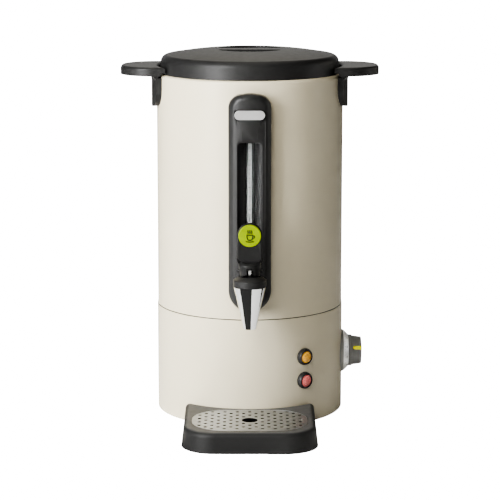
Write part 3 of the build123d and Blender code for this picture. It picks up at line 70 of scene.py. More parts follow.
# ---- nodes -------------------------------------------------------------------------------
class Nodes:
    """A node tree that is put together node by node."""

    def __init__(self, tree):
        self.tree = tree
        tree.nodes.clear()

    def feed(self, socket, value):
        """Link a node, its output or a value of the tree to the socket, or set a plain value."""
        if isinstance(value, bpy.types.Node):
            value = value.outputs[0]
        if isinstance(value, Value):
            value = value.socket
        if isinstance(value, bpy.types.NodeSocket):
            self.tree.links.new(value, socket)
        else:
            socket.default_value = value

    def add(self, kind, settings=(), **inputs):
        """A node of the kind, with its settings and what is fed to its inputs by name."""
        node = self.tree.nodes.new(kind)
        for label, value in dict(settings).items():
            setattr(node, label, value)
        for label, value in inputs.items():
            self.feed(node.inputs[label.replace("_", " ")], value)
        return node

    def values(self, kind, **inputs):
        """The outputs of a node of the kind, as values."""
        return [Value(self, socket) for socket in self.add(kind, **inputs).outputs]

    def math(self, operation, *values):
        """The result of one sum on the values."""
        node = self.add("ShaderNodeMath", {"operation": operation})
        for socket, value in zip(node.inputs, values):
            self.feed(socket, value)
        return Value(self, node.outputs[0])


class Value:
    """A value of a node tree, for sums that are written as with numbers."""

    def __init__(self, nodes, socket):
        self.nodes, self.socket = nodes, socket

    def __add__(self, other):
        return self.nodes.math("ADD", self, other)

    def __sub__(self, other):
        return self.nodes.math("SUBTRACT", self, other)

    def __rsub__(self, other):
        return self.nodes.math("SUBTRACT", other, self)

    def __mul__(self, other):
        return self.nodes.math("MULTIPLY", self, other)

    def __truediv__(self, other):
        return self.nodes.math("DIVIDE", self, other)

    def __mod__(self, other):
        return self.nodes.math("FLOORED_MODULO", self, other)

    def __lt__(self, other):
        return self.nodes.math("LESS_THAN", self, other)

    def __gt__(self, other):
        return self.nodes.math("GREATER_THAN", self, other)


# ---- finishes ----------------------------------------------------------------------------
class Finish(Nodes):
    """A material that is being put together: a Principled surface and its patterns."""

    def __init__(self, name, colour, roughness, **settings):
        self.material = bpy.data.materials.new(name)
        self.material.use_nodes = True
        super().__init__(self.material.node_tree)
        self.colour = colour
        self.shader = self.add("ShaderNodeBsdfPrincipled", Base_Color=(*colour, 1),
                               Roughness=roughness, **settings)
        self.add("ShaderNodeOutputMaterial", Surface=self.shader)
        self.place = self.add("ShaderNodeTexCoord").outputs["Object"]

    def noise(self, grain, stretch=(1, 1, 1), detail=2.0):
        """Noise whose spots are about grain metres wide, stretched along the axes."""
        spot = self.add("ShaderNodeMapping", Vector=self.place, Scale=[1 / s for s in stretch])
        return self.add("ShaderNodeTexNoise", Vector=spot, Scale=1 / grain, Detail=detail)

    def cells(self, size):
        """Pressed cells about size metres wide."""
        return self.add("ShaderNodeTexVoronoi", Vector=self.place, Scale=1 / size)

    def spread(self, pattern, low, high, start=NOISE_LOW, end=NOISE_HIGH):
        """The pattern's values from start to end moved into the range from low to high."""
        return self.add("ShaderNodeMapRange", Value=pattern, From_Min=start, From_Max=end,
                        To_Min=low, To_Max=high)

    def mix(self, share, first, second):
        """Colour the surface from the first to the second colour as the share grows."""
        mix = self.add("ShaderNodeMix", {"data_type": "RGBA"}, Factor=share, A=first, B=second)
        self.feed(self.shader.inputs["Base Color"], mix.outputs["Result"])

    def vary_colour(self, pattern, amount):
        """Let the pattern darken and lighten the colour by the amount."""
        darker, lighter = shade(self.colour, 1 - amount), shade(self.colour, 1 + amount)
        self.mix(self.spread(pattern, 0, 1), (*darker, 1), (*lighter, 1))

    def vary_roughness(self, pattern, low, high):
        """Let the pattern vary the roughness from low to high."""
        self.feed(self.shader.inputs["Roughness"], self.spread(pattern, low, high))

    def emboss(self, pattern, depth):
        """Raise and lower the surface with the pattern, by depth metres."""
        bump = self.add("ShaderNodeBump", Height=pattern, Distance=depth)
        self.feed(self.shader.inputs["Normal"], bump)


def shade(colour, share):
    """The colour with each of its parts times the share."""
    return tuple(share * c for c in colour)


def satin_paint(name, colour):
    """Baked satin paint with a faint orange peel."""
    paint = Finish(name, colour, 0.4, Coat_Weight=0.2, Coat_Roughness=0.22)
    paint.vary_colour(paint.noise(grain=0.06), amount=0.015)
    paint.vary_roughness(paint.noise(grain=0.02), low=0.36, high=0.44)
    paint.emboss(paint.noise(grain=0.0022, detail=1.0), depth=5e-6)
    return paint.material


def moulded_plastic(name, colour, roughness=0.42, grain=0.0006, depth=1.2e-5, gloss=0.5):
    """Moulded plastic with a fine spark-eroded grain."""
    plastic = Finish(name, colour, roughness, Specular_IOR_Level=gloss)
    plastic.vary_colour(plastic.noise(grain=0.012), amount=0.06)
    plastic.vary_roughness(plastic.noise(grain=0.008), roughness - 0.015, roughness + 0.015)
    plastic.emboss(plastic.noise(grain), depth)
    return plastic.material


def worn_plastic(name, colour, low, high, rise):
    """Matt moulded plastic with painted light on its top: between the heights low and high the
    colour grows paler by the rise.
    """
    plastic = Finish(name, colour, 0.5, Specular_IOR_Level=0.35)
    _, _, height = plastic.values("ShaderNodeSeparateXYZ", Vector=plastic.place)
    # painted light: the top is paler than the rest by the rise
    paler = shade(colour, rise)
    plastic.mix(plastic.spread(height, 0, 1, low, high), (*colour, 1), (*paler, 1))
    plastic.vary_roughness(plastic.noise(grain=0.008), low=0.47, high=0.53)
    plastic.emboss(plastic.noise(grain=0.0009), depth=6e-6)
    return plastic.material


def brushed_metal(name, colour, roughness, stretch):
    """Sheet metal with the fine lines of its brushing along the stretch."""
    metal = Finish(name, colour, roughness, Metallic=1.0)
    lines = metal.noise(0.0004, stretch, detail=3.0)
    metal.vary_colour(lines, amount=0.04)
    metal.vary_roughness(lines, roughness - 0.05, roughness + 0.06)
    metal.emboss(lines, depth=2e-6)
    return metal.material


def polished_metal(name, colour, roughness=0.05):
    """Plated metal with the faintest haze."""
    metal = Finish(name, colour, roughness, Metallic=1.0)
    metal.vary_colour(metal.noise(grain=0.01), amount=0.01)
    metal.vary_roughness(metal.noise(grain=0.004, detail=4.0), roughness - 0.02, roughness + 0.03)
    return metal.material


def cast_metal(name, colour, roughness):
    """Cast or stamped metal with a pebbled skin."""
    metal = Finish(name, colour, roughness, Metallic=1.0)
    metal.vary_colour(metal.noise(grain=0.004), amount=0.08)
    metal.vary_roughness(metal.noise(grain=0.003), roughness - 0.06, roughness + 0.08)
    metal.emboss(metal.noise(grain=0.0012), depth=1.5e-5)
    return metal.material


def satin_plate(name, colour):
    """Satin metal with a pearly sheen, brushed along X."""
    plate = Finish(name, colour, 0.35, Metallic=0.45)
    lines = plate.noise(0.0004, ALONG_X, detail=3.0)
    plate.vary_colour(lines, amount=0.04)
    plate.vary_roughness(lines, low=0.3, high=0.42)
    return plate.material


def silver_print(name, colour):
    """Silver paint with fine flakes."""
    silver = Finish(name, colour, 0.4, Metallic=0.8)
    silver.vary_colour(silver.noise(grain=0.0007, detail=3.0), amount=0.04)
    silver.vary_roughness(silver.noise(grain=0.0005), low=0.35, high=0.45)
    return silver.material


def soft_rubber(name, colour, roughness):
    """Rubber or silicone with a dusty bloom."""
    rubber = Finish(name, colour, roughness)
    rubber.vary_colour(rubber.noise(grain=0.005), amount=0.1)
    rubber.vary_roughness(rubber.noise(grain=0.003), roughness - 0.05, roughness + 0.05)
    rubber.emboss(rubber.noise(grain=0.0008), depth=1e-5)
    return rubber.material


def gauge_glass(name):
    """Drawn clear glass with a little waviness."""
    glass = Finish(name, (0.97, 0.98, 0.98), 0.03, Transmission_Weight=1.0, IOR=1.47)
    glass.emboss(glass.noise(0.004, stretch=(1, 1, 6)), depth=3e-6)
    glass.vary_roughness(glass.noise(grain=0.006), low=0.02, high=0.05)
    return glass.material


def lamp_lens(name, colour):
    """Tinted lens plastic with small pressed cells behind its face."""
    lens = Finish(name, colour, 0.22, Transmission_Weight=0.25, IOR=1.49)
    lens.vary_colour(lens.cells(size=0.0016), amount=0.18)
    lens.vary_roughness(lens.noise(grain=0.003), low=0.18, high=0.28)
    lens.emboss(lens.cells(size=0.0016), depth=8e-5)
    return lens.material


# ---- making pieces -----------------------------------------------------------------------
class Tree(Nodes):
    """A Geometry Nodes tree with named inputs."""

    KINDS = {int: "NodeSocketInt", float: "NodeSocketFloat",
             bpy.types.Material: "NodeSocketMaterial"}

    def __init__(self, name, **sizes):
        super().__init__(bpy.data.node_groups.new(name, "GeometryNodeTree"))
        sockets = self.tree.interface
        sockets.new_socket("Geometry", in_out="OUTPUT", socket_type="NodeSocketGeometry")
        sockets.new_socket("Start", in_out="INPUT", socket_type="NodeSocketGeometry")
        self.settings = {}
        for label, value in sizes.items():
            kind = next(kind for base, kind in self.KINDS.items() if isinstance(value, base))
            socket = sockets.new_socket(label, in_out="INPUT", socket_type=kind)
            self.settings[socket.identifier] = value
        given = self.tree.nodes.new("NodeGroupInput").outputs
        self.given = {socket.name: Value(self, socket) for socket in given}

    def vector(self, **axes):
        """A vector of what is fed to X, Y and Z."""
        return self.add("ShaderNodeCombineXYZ", **axes)

    def scatter(self, places, shape, **settings):
        """The shape at each of the places."""
        return self.add("GeometryNodeInstanceOnPoints", Points=places, Instance=shape, **settings)

    def join(self, *parts):
        """One geometry out of the parts."""
        node = self.add("GeometryNodeJoinGeometry")
        for part in parts:
            self.feed(node.inputs[0], part)
        return node

    def grow(self, geometry, start=None):
        """The plain mesh that the tree makes out of the start mesh."""
        real = self.add("GeometryNodeRealizeInstances", Geometry=geometry)
        dressed = self.add("GeometryNodeSetMaterial", Geometry=real, Material=self.given["Finish"])
        self.add("NodeGroupOutput", Geometry=dressed)
        name = self.tree.name
        thing = bpy.data.objects.new(name, start or bpy.data.meshes.new(name))
        bpy.context.collection.objects.link(thing)
        modifier = thing.modifiers.new(name, "NODES")
        modifier.node_group = self.tree
        for key, value in self.settings.items():
            modifier[key] = value
        mesh = flesh(thing)
        thing.modifiers.remove(modifier)
        bpy.data.objects.remove(thing)
        return mesh


def flesh(thing):
    """The plain mesh of an object as its modifiers and curves leave it."""
    final = thing.evaluated_get(bpy.context.evaluated_depsgraph_get())
    return bpy.data.meshes.new_from_object(final)


def tidy(mesh, bevel=0.0, angle=30):
    """Merge doubles, turn the faces outwards, break sharp edges by bevel and shade smoothly."""
    form = bmesh.new()
    form.from_mesh(mesh)
    bmesh.ops.remove_doubles(form, verts=form.verts, dist=WELD)
    bmesh.ops.recalc_face_normals(form, faces=form.faces)
    if bevel:
        sharp = [edge for edge in form.edges
                 if edge.is_manifold and edge.calc_face_angle() > radians(60)]
        bmesh.ops.bevel(form, geom=sharp, offset=bevel, segments=2, profile=0.5, affect="EDGES",
                        clamp_overlap=True)
    form.to_mesh(mesh)
    form.free()
    mesh.shade_smooth()
    mesh.set_sharp_from_angle(angle=radians(angle))
    return mesh


def piece(name, mesh, body, slot, *nodes, skin=None):
    """Put a mesh on its body in the place of the nodes, with its slot's finish or its own skin.

    A body that is not a name, such as two bodies and the points where each one holds it, is not
    used: the piece is only baked in place.
    """
    mesh.materials.clear()
    mesh.materials.append(finishes()[skin or slot])
    thing = bpy.data.objects.new(name, mesh)
    bpy.context.collection.objects.link(thing)
    if isinstance(body, str):
        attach(thing, body)
    else:
        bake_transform(thing)
    if nodes:
        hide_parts(*nodes)


def meshed(form, name, place=Matrix()):
    """The finished form as a mesh in its place."""
    mesh = bpy.data.meshes.new(name)
    form.to_mesh(mesh)
    form.free()
    mesh.transform(place)
    return mesh


def turned(name, profile, place, steps=64):
    """A mesh turned from a closed profile of radius and height about Z, then put in its place."""
    form = bmesh.new()
    rings = []
    for k in range(steps):
        turn = tau * k / steps
        rings.append([form.verts.new((r * cos(turn), r * sin(turn), z)) for r, z in profile])
    for k in range(steps):
        for j in range(len(profile)):
            form.faces.new((rings[k - 1][j - 1], rings[k][j - 1], rings[k][j], rings[k - 1][j]))
    bmesh.ops.remove_doubles(form, verts=form.verts, dist=HAIR)
    bmesh.ops.dissolve_degenerate(form, edges=form.edges, dist=HAIR)
    return meshed(form, name, place)


def lofted(name, outlines, place=Matrix()):
    """A closed mesh through outlines of as many points each, with a face on both ends."""
    form = bmesh.new()
    rings = [[form.verts.new(point) for point in outline] for outline in outlines]
    form.faces.new(rings[0])
    form.faces.new(rings[-1])
    for under, over in zip(rings, rings[1:]):
        for k in range(len(under)):
            form.faces.new((under[k - 1], under[k], over[k], over[k - 1]))
    return meshed(form, name, place)


def eased(knots, steps):
    """A smooth run through the knots, as a list of points with steps of them to each knot."""
    way = [Vector(knot) for knot in knots]
    way = [2 * way[0] - way[1], *way, 2 * way[-1] - way[-2]]
    run = []
    for before, start, end, after in zip(way, way[1:], way[2:], way[3:]):
        for k in range(steps):
            t = k / steps
            run.append(tuple(0.5 * (2 * start + (end - before) * t
                                    + (2 * before - 5 * start + 4 * end - after) * t**2
                                    + (3 * start - before - 3 * end + after) * t**3)))
    return run + [tuple(knots[-1])]


def copied(node, cuts):
    """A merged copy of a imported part's mesh, cut into strips at the places given for each axis."""
    form = bmesh.new()
    form.from_mesh(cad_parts[node].data)
    bmesh.ops.remove_doubles(form, verts=form.verts, dist=WELD)
    for axis, places in cuts:
        normal = [float(axis == other) for other in "XYZ"]
        for place in places:
            geometry = form.verts[:] + form.edges[:] + form.faces[:]
            bmesh.ops.bisect_plane(form, geom=geometry, dist=HAIR, plane_no=normal,
                                   plane_co=[place * n for n in normal])
    return meshed(form, node)


def ramp(value, start, end):
    """From 0 at the start to 1 at the end, eased at both."""
    share = min(max((value - start) / (end - start), 0), 1)
    return share * share * (3 - 2 * share)


def points(name, places, aim):
    """A mesh of loose points that all face along the aim."""
    mesh = bpy.data.meshes.new(name)
    mesh.from_pydata(places, [], [])
    aims = mesh.attributes.new("aim", "FLOAT_VECTOR", "POINT")
    for entry in aims.data:
        entry.vector = aim
    return mesh


# ---- what a user may change --------------------------------------------------------------
def tint(name, description, default):
    """A colour."""
    return FloatVectorProperty(name=name, description=description, subtype="COLOR",
                               size=3, min=0, max=1, default=default)


def measure(name, description, default):
    """A length in metres."""
    return FloatProperty(name=name, description=description, unit="LENGTH", default=default)


def slant(name, description, degrees):
    """An angle, given in degrees."""
    return FloatProperty(name=name, description=description, subtype="ANGLE",
                         default=radians(degrees))


class Finishes(bpy.types.PropertyGroup):
    """Colours of the urn's finishes."""

    paint: tint("Body paint", "Satin paint of the two body shells", (0.56, 0.512, 0.392))
    black: tint("Moulded black", "Lid, handles, front panel, tray and knob", (0.022, 0.022, 0.022))
    silver: tint("Dial ring", "Silver paint of the thermostat's ring", (0.93, 0.93, 0.93))
    lime: tint("Tap disc", "Disc on the tap lever", (0.20, 0.275, 0.003))
    yellow: tint("Pointer", "Pointer of the thermostat knob", (1.0, 0.97, 0.05))
    amber: tint("Ready lamp", "Lens of the upper lamp", (0.90, 0.50, 0.10))
    red: tint("Heating lamp", "Lens of the lower lamp", (0.80, 0.22, 0.21))


class Front(bpy.types.PropertyGroup):
    """Shape of the front panel."""

    crown: measure("Crown", "How far the panel's edges lie behind its middle", 6.4 * MM)
    edge: measure("Edge", "Rounding of the panel's edges", 7 * MM)
    trough: measure("Trough", "Radius of the pocket's concave lining", 23 * MM)
    pocket_half: measure("Pocket", "Half the pocket's width", 13.4 * MM)
    pocket_bottom: measure("Pocket bottom", "Height of the pocket's lower end", 214.2 * MM)
    pocket_top: measure("Pocket top", "Height of the pocket's upper end", 336.5 * MM)


class Lamps(bpy.types.PropertyGroup):
    """Sizes and places of the indicator lamps."""

    turn: slant("Turn", "Angle to the right of the front", 35)
    amber_height: measure("Upper lamp", "Height of the amber lamp", 81 * MM)
    red_height: measure("Lower lamp", "Height of the red lamp", 52.7 * MM)
    bezel: measure("Bezel radius", "Outer radius of the bezels", 10 * MM)
    lens: measure("Lens radius", "Radius of the lenses", 7.1 * MM)


class Grille(bpy.types.PropertyGroup):
    """Sizes of the perforated grille."""

    hole: measure("Hole radius", "Radius of each drain hole", 2.1 * MM)
    pitch: measure("Pitch", "Distance between the rows of holes", 7.2 * MM)
    margin: measure("Margin", "Least metal from a hole's centre to an edge", 4.2 * MM)
    corner: measure("Corner", "Radius of the grille's corners", 40 * MM)
    finger: measure("Finger hole", "Radius of the hole that lifts the grille", 9 * MM)
    sheet: measure("Sheet", "Thickness of the perforated sheet", 0.14 * MM)
    rim: measure("Rim", "Width of the folded rim", 1.1 * MM)
    dish: measure("Dish", "Depth of the sheet below the rim", 0.12 * MM)
    edge: measure("Edge", "How far the edges are broken", 0.03 * MM)


class Dial(bpy.types.PropertyGroup):
    """The thermostat's scale and pointer."""

    first: slant("First mark", "Angle of the first mark from straight up", -135)
    sweep: slant("Sweep", "Angle from the first mark to the last", 270)
    marks: IntProperty(name="Marks", description="Number of marks on the scale", default=33, min=2)
    pointer: slant("Pointer", "Angle of the pointer above the horizontal", 22)
    coldest: IntProperty(name="Lowest number", description="Number at the scale's start",
                         default=30)
    step: IntProperty(name="Step", description="From one number to the next", default=10)


class Studio(bpy.types.PropertyGroup):
    """Camera and lights."""

    eye_distance: measure("Eye distance", "Distance of the camera in front of the urn", 2.3927)
    eye_height: measure("Eye height", "Height of the camera", 0.6363)
    tilt: slant("Tilt", "Angle that the camera looks down by", 9.115)
    lens: FloatProperty(name="Lens", description="Focal length in millimetres", default=144.784)
    rise: FloatProperty(name="Rise", description="Vertical shift of the lens", default=-0.1)
    sideways: FloatProperty(name="Sideways", description="Horizontal shift of the lens",
                            default=0.0004)
    light: FloatProperty(name="Light", description="Brightness of all the softboxes", default=1.0)
    warm: tint("Warmth", "Colour of the soft lights that fill the shaded side", (1.0, 0.96, 0.86))
    fill: FloatProperty(name="Room light", description="Strength of the even light all round",
                        default=0.02)
    floor: FloatProperty(name="Floor", description="Glow that makes the floor white to the camera",
                         default=5.0)
    shade: FloatProperty(name="Floor shade", default=0.045, min=0, max=1,
                         description="Brightness of the patches that the tap mirrors")
    white: FloatProperty(name="Backdrop", description="Brightness of the backdrop", default=7.0)


# ---- operators ---------------------------------------------------------------------------
def finishes():
    """Every finish, made once: by its material slot, then the skins and inks of single pieces."""
    if not FINISHES:
        colours = bpy.context.scene.urn_finishes
        FINISHES.update(
            painted_shell=satin_paint("Satin paint", colours.paint),
            black_plastic=moulded_plastic("Moulded black", colours.black),
            stainless=brushed_metal("Brushed steel", (0.62, 0.62, 0.61), 0.28, ALONG_X),
            zinc_steel=cast_metal("Zinc plate", (0.55, 0.56, 0.57), 0.35),
            chrome=polished_metal("Bright chrome", (0.83, 0.84, 0.85)),
            dial_silver=silver_print("Dial silver", colours.silver),
            heater_alloy=cast_metal("Heater alloy", (0.6, 0.6, 0.6), 0.5),
            brass_parts=polished_metal("Brass", (0.8, 0.58, 0.25), 0.2),
            dark_rubber=soft_rubber("Dark rubber", (0.03, 0.03, 0.03), 0.6),
            silicone=soft_rubber("Silicone", (0.55, 0.53, 0.5), 0.5),
            gauge_glass=gauge_glass("Gauge glass"),
            gauge_white=moulded_plastic("Gauge strip", (0.9, 0.9, 0.89), 0.35),
            lime_plastic=moulded_plastic("Lime plastic", colours.lime, 0.3, gloss=0.3),
            pointer_yellow=moulded_plastic("Pointer yellow", colours.yellow, 0.35),
            amber_plastic=lamp_lens("Amber lens", colours.amber),
            red_plastic=lamp_lens("Red lens", colours.red),
            insulator=moulded_plastic("Insulator", (0.6, 0.58, 0.52), 0.45),
            lid_skin=moulded_plastic("Lid black", colours.black, 0.44, 0.0008, 4e-6),
            lamp_skin=moulded_plastic("Lamp black", shade(colours.black, 1.2), 0.34, depth=4e-6),
            grille_skin=brushed_metal("Grille steel", (0.47, 0.49, 0.53), 0.42, ALONG_X),
            panel_skin=moulded_plastic("Panel black", shade(colours.black, 1.1), 0.38),
            trough_skin=moulded_plastic("Pocket black", shade(colours.black, 1.3), 0.4),
            # the lever's black is darkened to 0.8: painted shade
            lever_skin=moulded_plastic("Lever black", shade(colours.black, 0.8), 0.4, gloss=0.35),
            # the tray's deck is painted paler than its sides: painted light on its top
            tray_skin=worn_plastic("Tray black", shade(colours.black, 1.15),
                                   low=22.2 * MM, high=23.2 * MM, rise=3.4),
            # knob and flange: the moulded black made much paler, painted light from the right side
            knob_skin=moulded_plastic("Knob grey", shade(colours.black, 10), 0.55, 0.0008, 6e-6),
            flange_skin=moulded_plastic("Flange grey", shade(colours.black, 15),
                                        0.45, 0.0008, 6e-6),
            badge_skin=satin_plate("Badge plate", (0.45, 0.45, 0.45)),
            tank_skin=satin_plate("Tank steel", (0.62, 0.62, 0.6)),
            pin_skin=cast_metal("Pin steel", (0.2, 0.2, 0.2), 0.5),
            dial_ink=moulded_plastic("Dial ink", (0.10, 0.10, 0.105), 0.5, 0.0003),
            cup_ink=moulded_plastic("Olive ink", (0.02, 0.03, 0.003), 0.6, 0.0004),
            level_ink=moulded_plastic("Level ink", (0.12, 0.12, 0.125), 0.5, 0.0004),
        )
    return FINISHES


FINISHES = {}  # filled by finishes()
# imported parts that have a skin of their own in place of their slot's finish
SKINS = {"lid_shell": "lid_skin", "tap_panel": "panel_skin", "drip_tray": "tray_skin",
         "control_knob": "knob_skin", "dial_flange": "flange_skin", "badge_plate": "badge_skin",
         "lever_pin": "pin_skin", "inner_tank": "tank_skin"}


class URN_OT_finishes(bpy.types.Operator):
    """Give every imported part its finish"""

    bl_idname = "urn.finishes"
    bl_label = "Finishes"

    def execute(self, context):
        for name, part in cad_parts.items():
            slot = part.material_slots[0]
            slot.material = finishes()[SKINS.get(name, slot.material.name)]
        return {"FINISHED"}


class URN_OT_panel(bpy.types.Operator):
    """Crown the front panel and line the gauge's pocket with a shallow trough"""

    bl_idname = "urn.panel"
    bl_label = "Front panel"

    strips = 60  # cut across the panel
    arches, arch = 12, 1.5  # cuts down from its top, and the millimetres between them
    round_top = 16 * MM  # the edge above this is round already
    reach = 18 * MM  # how far behind the face the crown still moves the walls
    facets = 24  # across the trough
    sunk = 0.4 * MM  # from the strip's face back to the trough's edges
    lap = 0.3 * MM  # from the strip's back to the trough's

    def execute(self, context):
        front = context.scene.urn_front
        low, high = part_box("tap_panel")
        half = high.x
        mesh = copied("tap_panel", [
            ("X", [half * (2 * k / self.strips - 1) for k in range(1, self.strips)]),
            ("Z", [high.z - k * self.arch * MM for k in range(1, self.arches)])])
        bottom, top = low.z + half, high.z - self.round_top
        for vertex in mesh.vertices:
            x, y, z = vertex.co
            past = abs(x) - half + front.edge
            if 0 < past < front.edge and y < low.y + front.edge and bottom < z < top:
                y = low.y + front.edge - sqrt(front.edge**2 - past**2)
            vertex.co.y = y + ramp(y, low.y + self.reach, low.y) * front.crown * (x / half) ** 2
        piece("front_panel", tidy(mesh), "housing", "black_plastic", "tap_panel",
              skin="panel_skin")
        self.trough(front)
        return {"FINISHED"}

    def trough(self, front):
        """A concave lining behind the glass, which catches the light on one side."""
        low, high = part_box("gauge_strip")
        edge, back, half = low.y + self.sunk, high.y + self.lap, front.pocket_half
        outline = []
        for k in range(self.facets + 1):
            x = half * (2 * k / self.facets - 1)
            y = edge - (front.trough - sqrt(front.trough**2 - x**2))
            outline.append((x, min(y, back)))
        outline += [(half, back), (-half, back)]
        mesh = lofted("pocket_trough", [[(x, y, z) for x, y in outline]
                                        for z in (front.pocket_bottom, front.pocket_top)])
        piece("pocket_trough", tidy(mesh), "housing", "black_plastic", skin="trough_skin")


class URN_OT_lamps(bpy.types.Operator):
    """Turn the two lamps: a dished bezel with a domed lens of pressed cells"""

    bl_idname = "urn.lamps"
    bl_label = "Lamps"

    def execute(self, context):
        lamps = context.scene.urn_lamps
        away = Vector((sin(lamps.turn), -cos(lamps.turn), 0))
        facing = away.to_track_quat("Z", "Y").to_matrix().to_4x4()
        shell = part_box("base_shell")[1].x
        for colour, height in (("amber", lamps.amber_height), ("red", lamps.red_height)):
            place = Matrix.Translation(Vector((0, 0, height)) + away * shell) @ facing
            bezel = turned(colour + "_ring", self.bezel(lamps.bezel, lamps.lens), place)
            piece(colour + "_ring", tidy(bezel), "housing", "black_plastic", colour + "_bezel",
                  skin="lamp_skin")
            dome = turned(colour + "_dome", self.dome(lamps.lens), place)
            piece(colour + "_dome", tidy(dome), "housing", colour + "_plastic", colour + "_lens")
        return {"FINISHED"}

    def bezel(self, outer, lens):
        """Radius and height off the shell: the wall, the dished face, and the sleeve behind it."""
        back, tail = -1.5 * MM, -12 * MM
        wall = [(outer, 1.2 * MM), (outer - 0.6 * MM, 3.4 * MM), (outer - 1.6 * MM, 5.0 * MM)]
        dish = [(outer - 1.9 * MM, 5.2 * MM), (lens + 0.5 * MM, 5.0 * MM),
                (lens + 0.1 * MM, 4.4 * MM)]
        sleeve = [(lens + 0.1 * MM, tail), (lens + 0.7 * MM, tail), (lens + 0.7 * MM, back)]
        return [(outer, back), *eased(wall, 4), *eased(dish, 4), *sleeve]

    def dome(self, lens):
        """Radius and height off the shell, from the dome's top to its foot."""
        top = [(1.4 * MM, 6.55 * MM), (0.65 * lens, 5.9 * MM), (lens - 0.3 * MM, 4.6 * MM)]
        foot = 1.4 * MM
        return [(0, 6.6 * MM), *eased(top, 5), (lens, 4.0 * MM), (lens, foot), (0, foot)]


class URN_OT_pointer(bpy.types.Operator):
    """Set the yellow pointer into the knob's side"""

    bl_idname = "urn.pointer"
    bl_label = "Knob pointer"

    half, length = 2.1 * MM, 11.0 * MM  # half the pointer's width, and how far back it starts
    inset = 0.5 * MM  # from the knob's face
    grip, flare, depth = 16.4, 1.3, 15.4  # knob's radius at its face, its gain, and over how far
    # lift off the knob and share of the width
    layers = ((-1.2 * MM, 1.0), (0.32 * MM, 1.0), (0.5 * MM, 0.82))
    facets = 12  # round the pointer's end

    def execute(self, context):
        low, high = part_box("control_knob")
        middle = (low + high) / 2
        half, start = self.half, high.x - self.length
        outline = [(high.x - self.inset, -half), (high.x - self.inset, half)]
        for k in range(self.facets + 1):
            turn = pi * k / self.facets
            outline.append((start + half - half * sin(turn), half * cos(turn)))
        layers = []
        for lift, share in self.layers:
            layer = []
            for x, y in outline:
                radius = (self.grip + self.flare * ((high.x - x) / (self.depth * MM))) * MM + lift
                layer.append((x, y * share, sqrt(max(radius**2 - y**2, 0))))
            layers.append(layer)
        turn = Matrix.Rotation(pi / 2 - context.scene.urn_dial.pointer, 4, "X")
        mesh = lofted("pointer_bar", layers, Matrix.Translation((0, middle.y, middle.z)) @ turn)
        piece("pointer_bar", tidy(mesh, angle=50), "knob", "pointer_yellow", "knob_pointer")
        return {"FINISHED"}


class URN_OT_lever(bpy.types.Operator):
    """Scoop the top of the lever's foot up to its paddle"""

    bl_idname = "urn.lever"
    bl_label = "Tap lever"

    top = 203.5 * MM  # of the lever's foot
    below, above = 4 * MM, 1 * MM  # the band round the top that the scoop moves
    rise, gain, run = 0.8, 3.4, 12 * MM  # scoop's millimetres in front, its gain, and over how far
    half, flare = 0.0115, 0.05  # half the foot's width, and the share that it widens upwards
    cuts, column = 24, 2  # number of cuts from the front, and millimetres between those across

    def execute(self, context):
        low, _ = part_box("lever")
        mesh = copied("lever", [("Y", [low.y + k * MM for k in range(1, self.cuts)]),
                                ("X", [k * self.column * MM for k in range(-6, 7)])])
        bottom, top = self.top - self.below, self.top + self.above
        for vertex in mesh.vertices:
            x, y, z = vertex.co
            if bottom < z < top:
                lift = (self.rise + self.gain * ramp(y, low.y, low.y + self.run)) * MM
                lift *= ramp(z, bottom, self.top)
                vertex.co.z += lift * (0.5 + 0.5 * min(abs(x) / self.half, 1))
            if z < top:
                vertex.co.x *= 1 + self.flare * ramp(z, low.z, bottom)
        piece("tap_lever", tidy(mesh), "lever", "black_plastic", "lever", skin="lever_skin")
        return {"FINISHED"}


class URN_OT_spring(bpy.types.Operator):
    """Coil the valve's spring at its resting length (the real one shortens when the lever lifts the
    stem)
    """

    bl_idname = "urn.spring"
    bl_label = "Valve spring"

    turns, wire = 5.0, 0.45 * MM  # number of turns, and the wire's radius

    def execute(self, context):
        low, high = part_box("valve_spring")
        tree = Tree("Coil", Turns=self.turns, Radius=(high.x - low.x) / 2 - self.wire,
                    Height=high.z - low.z - 2 * self.wire, Wire=self.wire,
                    Finish=finishes()["stainless"])
        size = tree.given
        line = tree.add("GeometryNodeCurveSpiral", Resolution=28, Rotations=size["Turns"],
                        Start_Radius=size["Radius"], End_Radius=size["Radius"],
                        Height=size["Height"])
        section = tree.add("GeometryNodeCurvePrimitiveCircle", Resolution=10, Radius=size["Wire"])
        mesh = tree.grow(tree.add("GeometryNodeCurveToMesh", Curve=line, Profile_Curve=section,
                                  Fill_Caps=True))
        x, y, _ = (low + high) / 2
        mesh.transform(Matrix.Translation((x, y, low.z + self.wire)))
        piece("spring_coil", tidy(mesh), ("housing", "valve", (x, y, high.z), (x, y, low.z)),
              "stainless", "valve_spring")
        return {"FINISHED"}


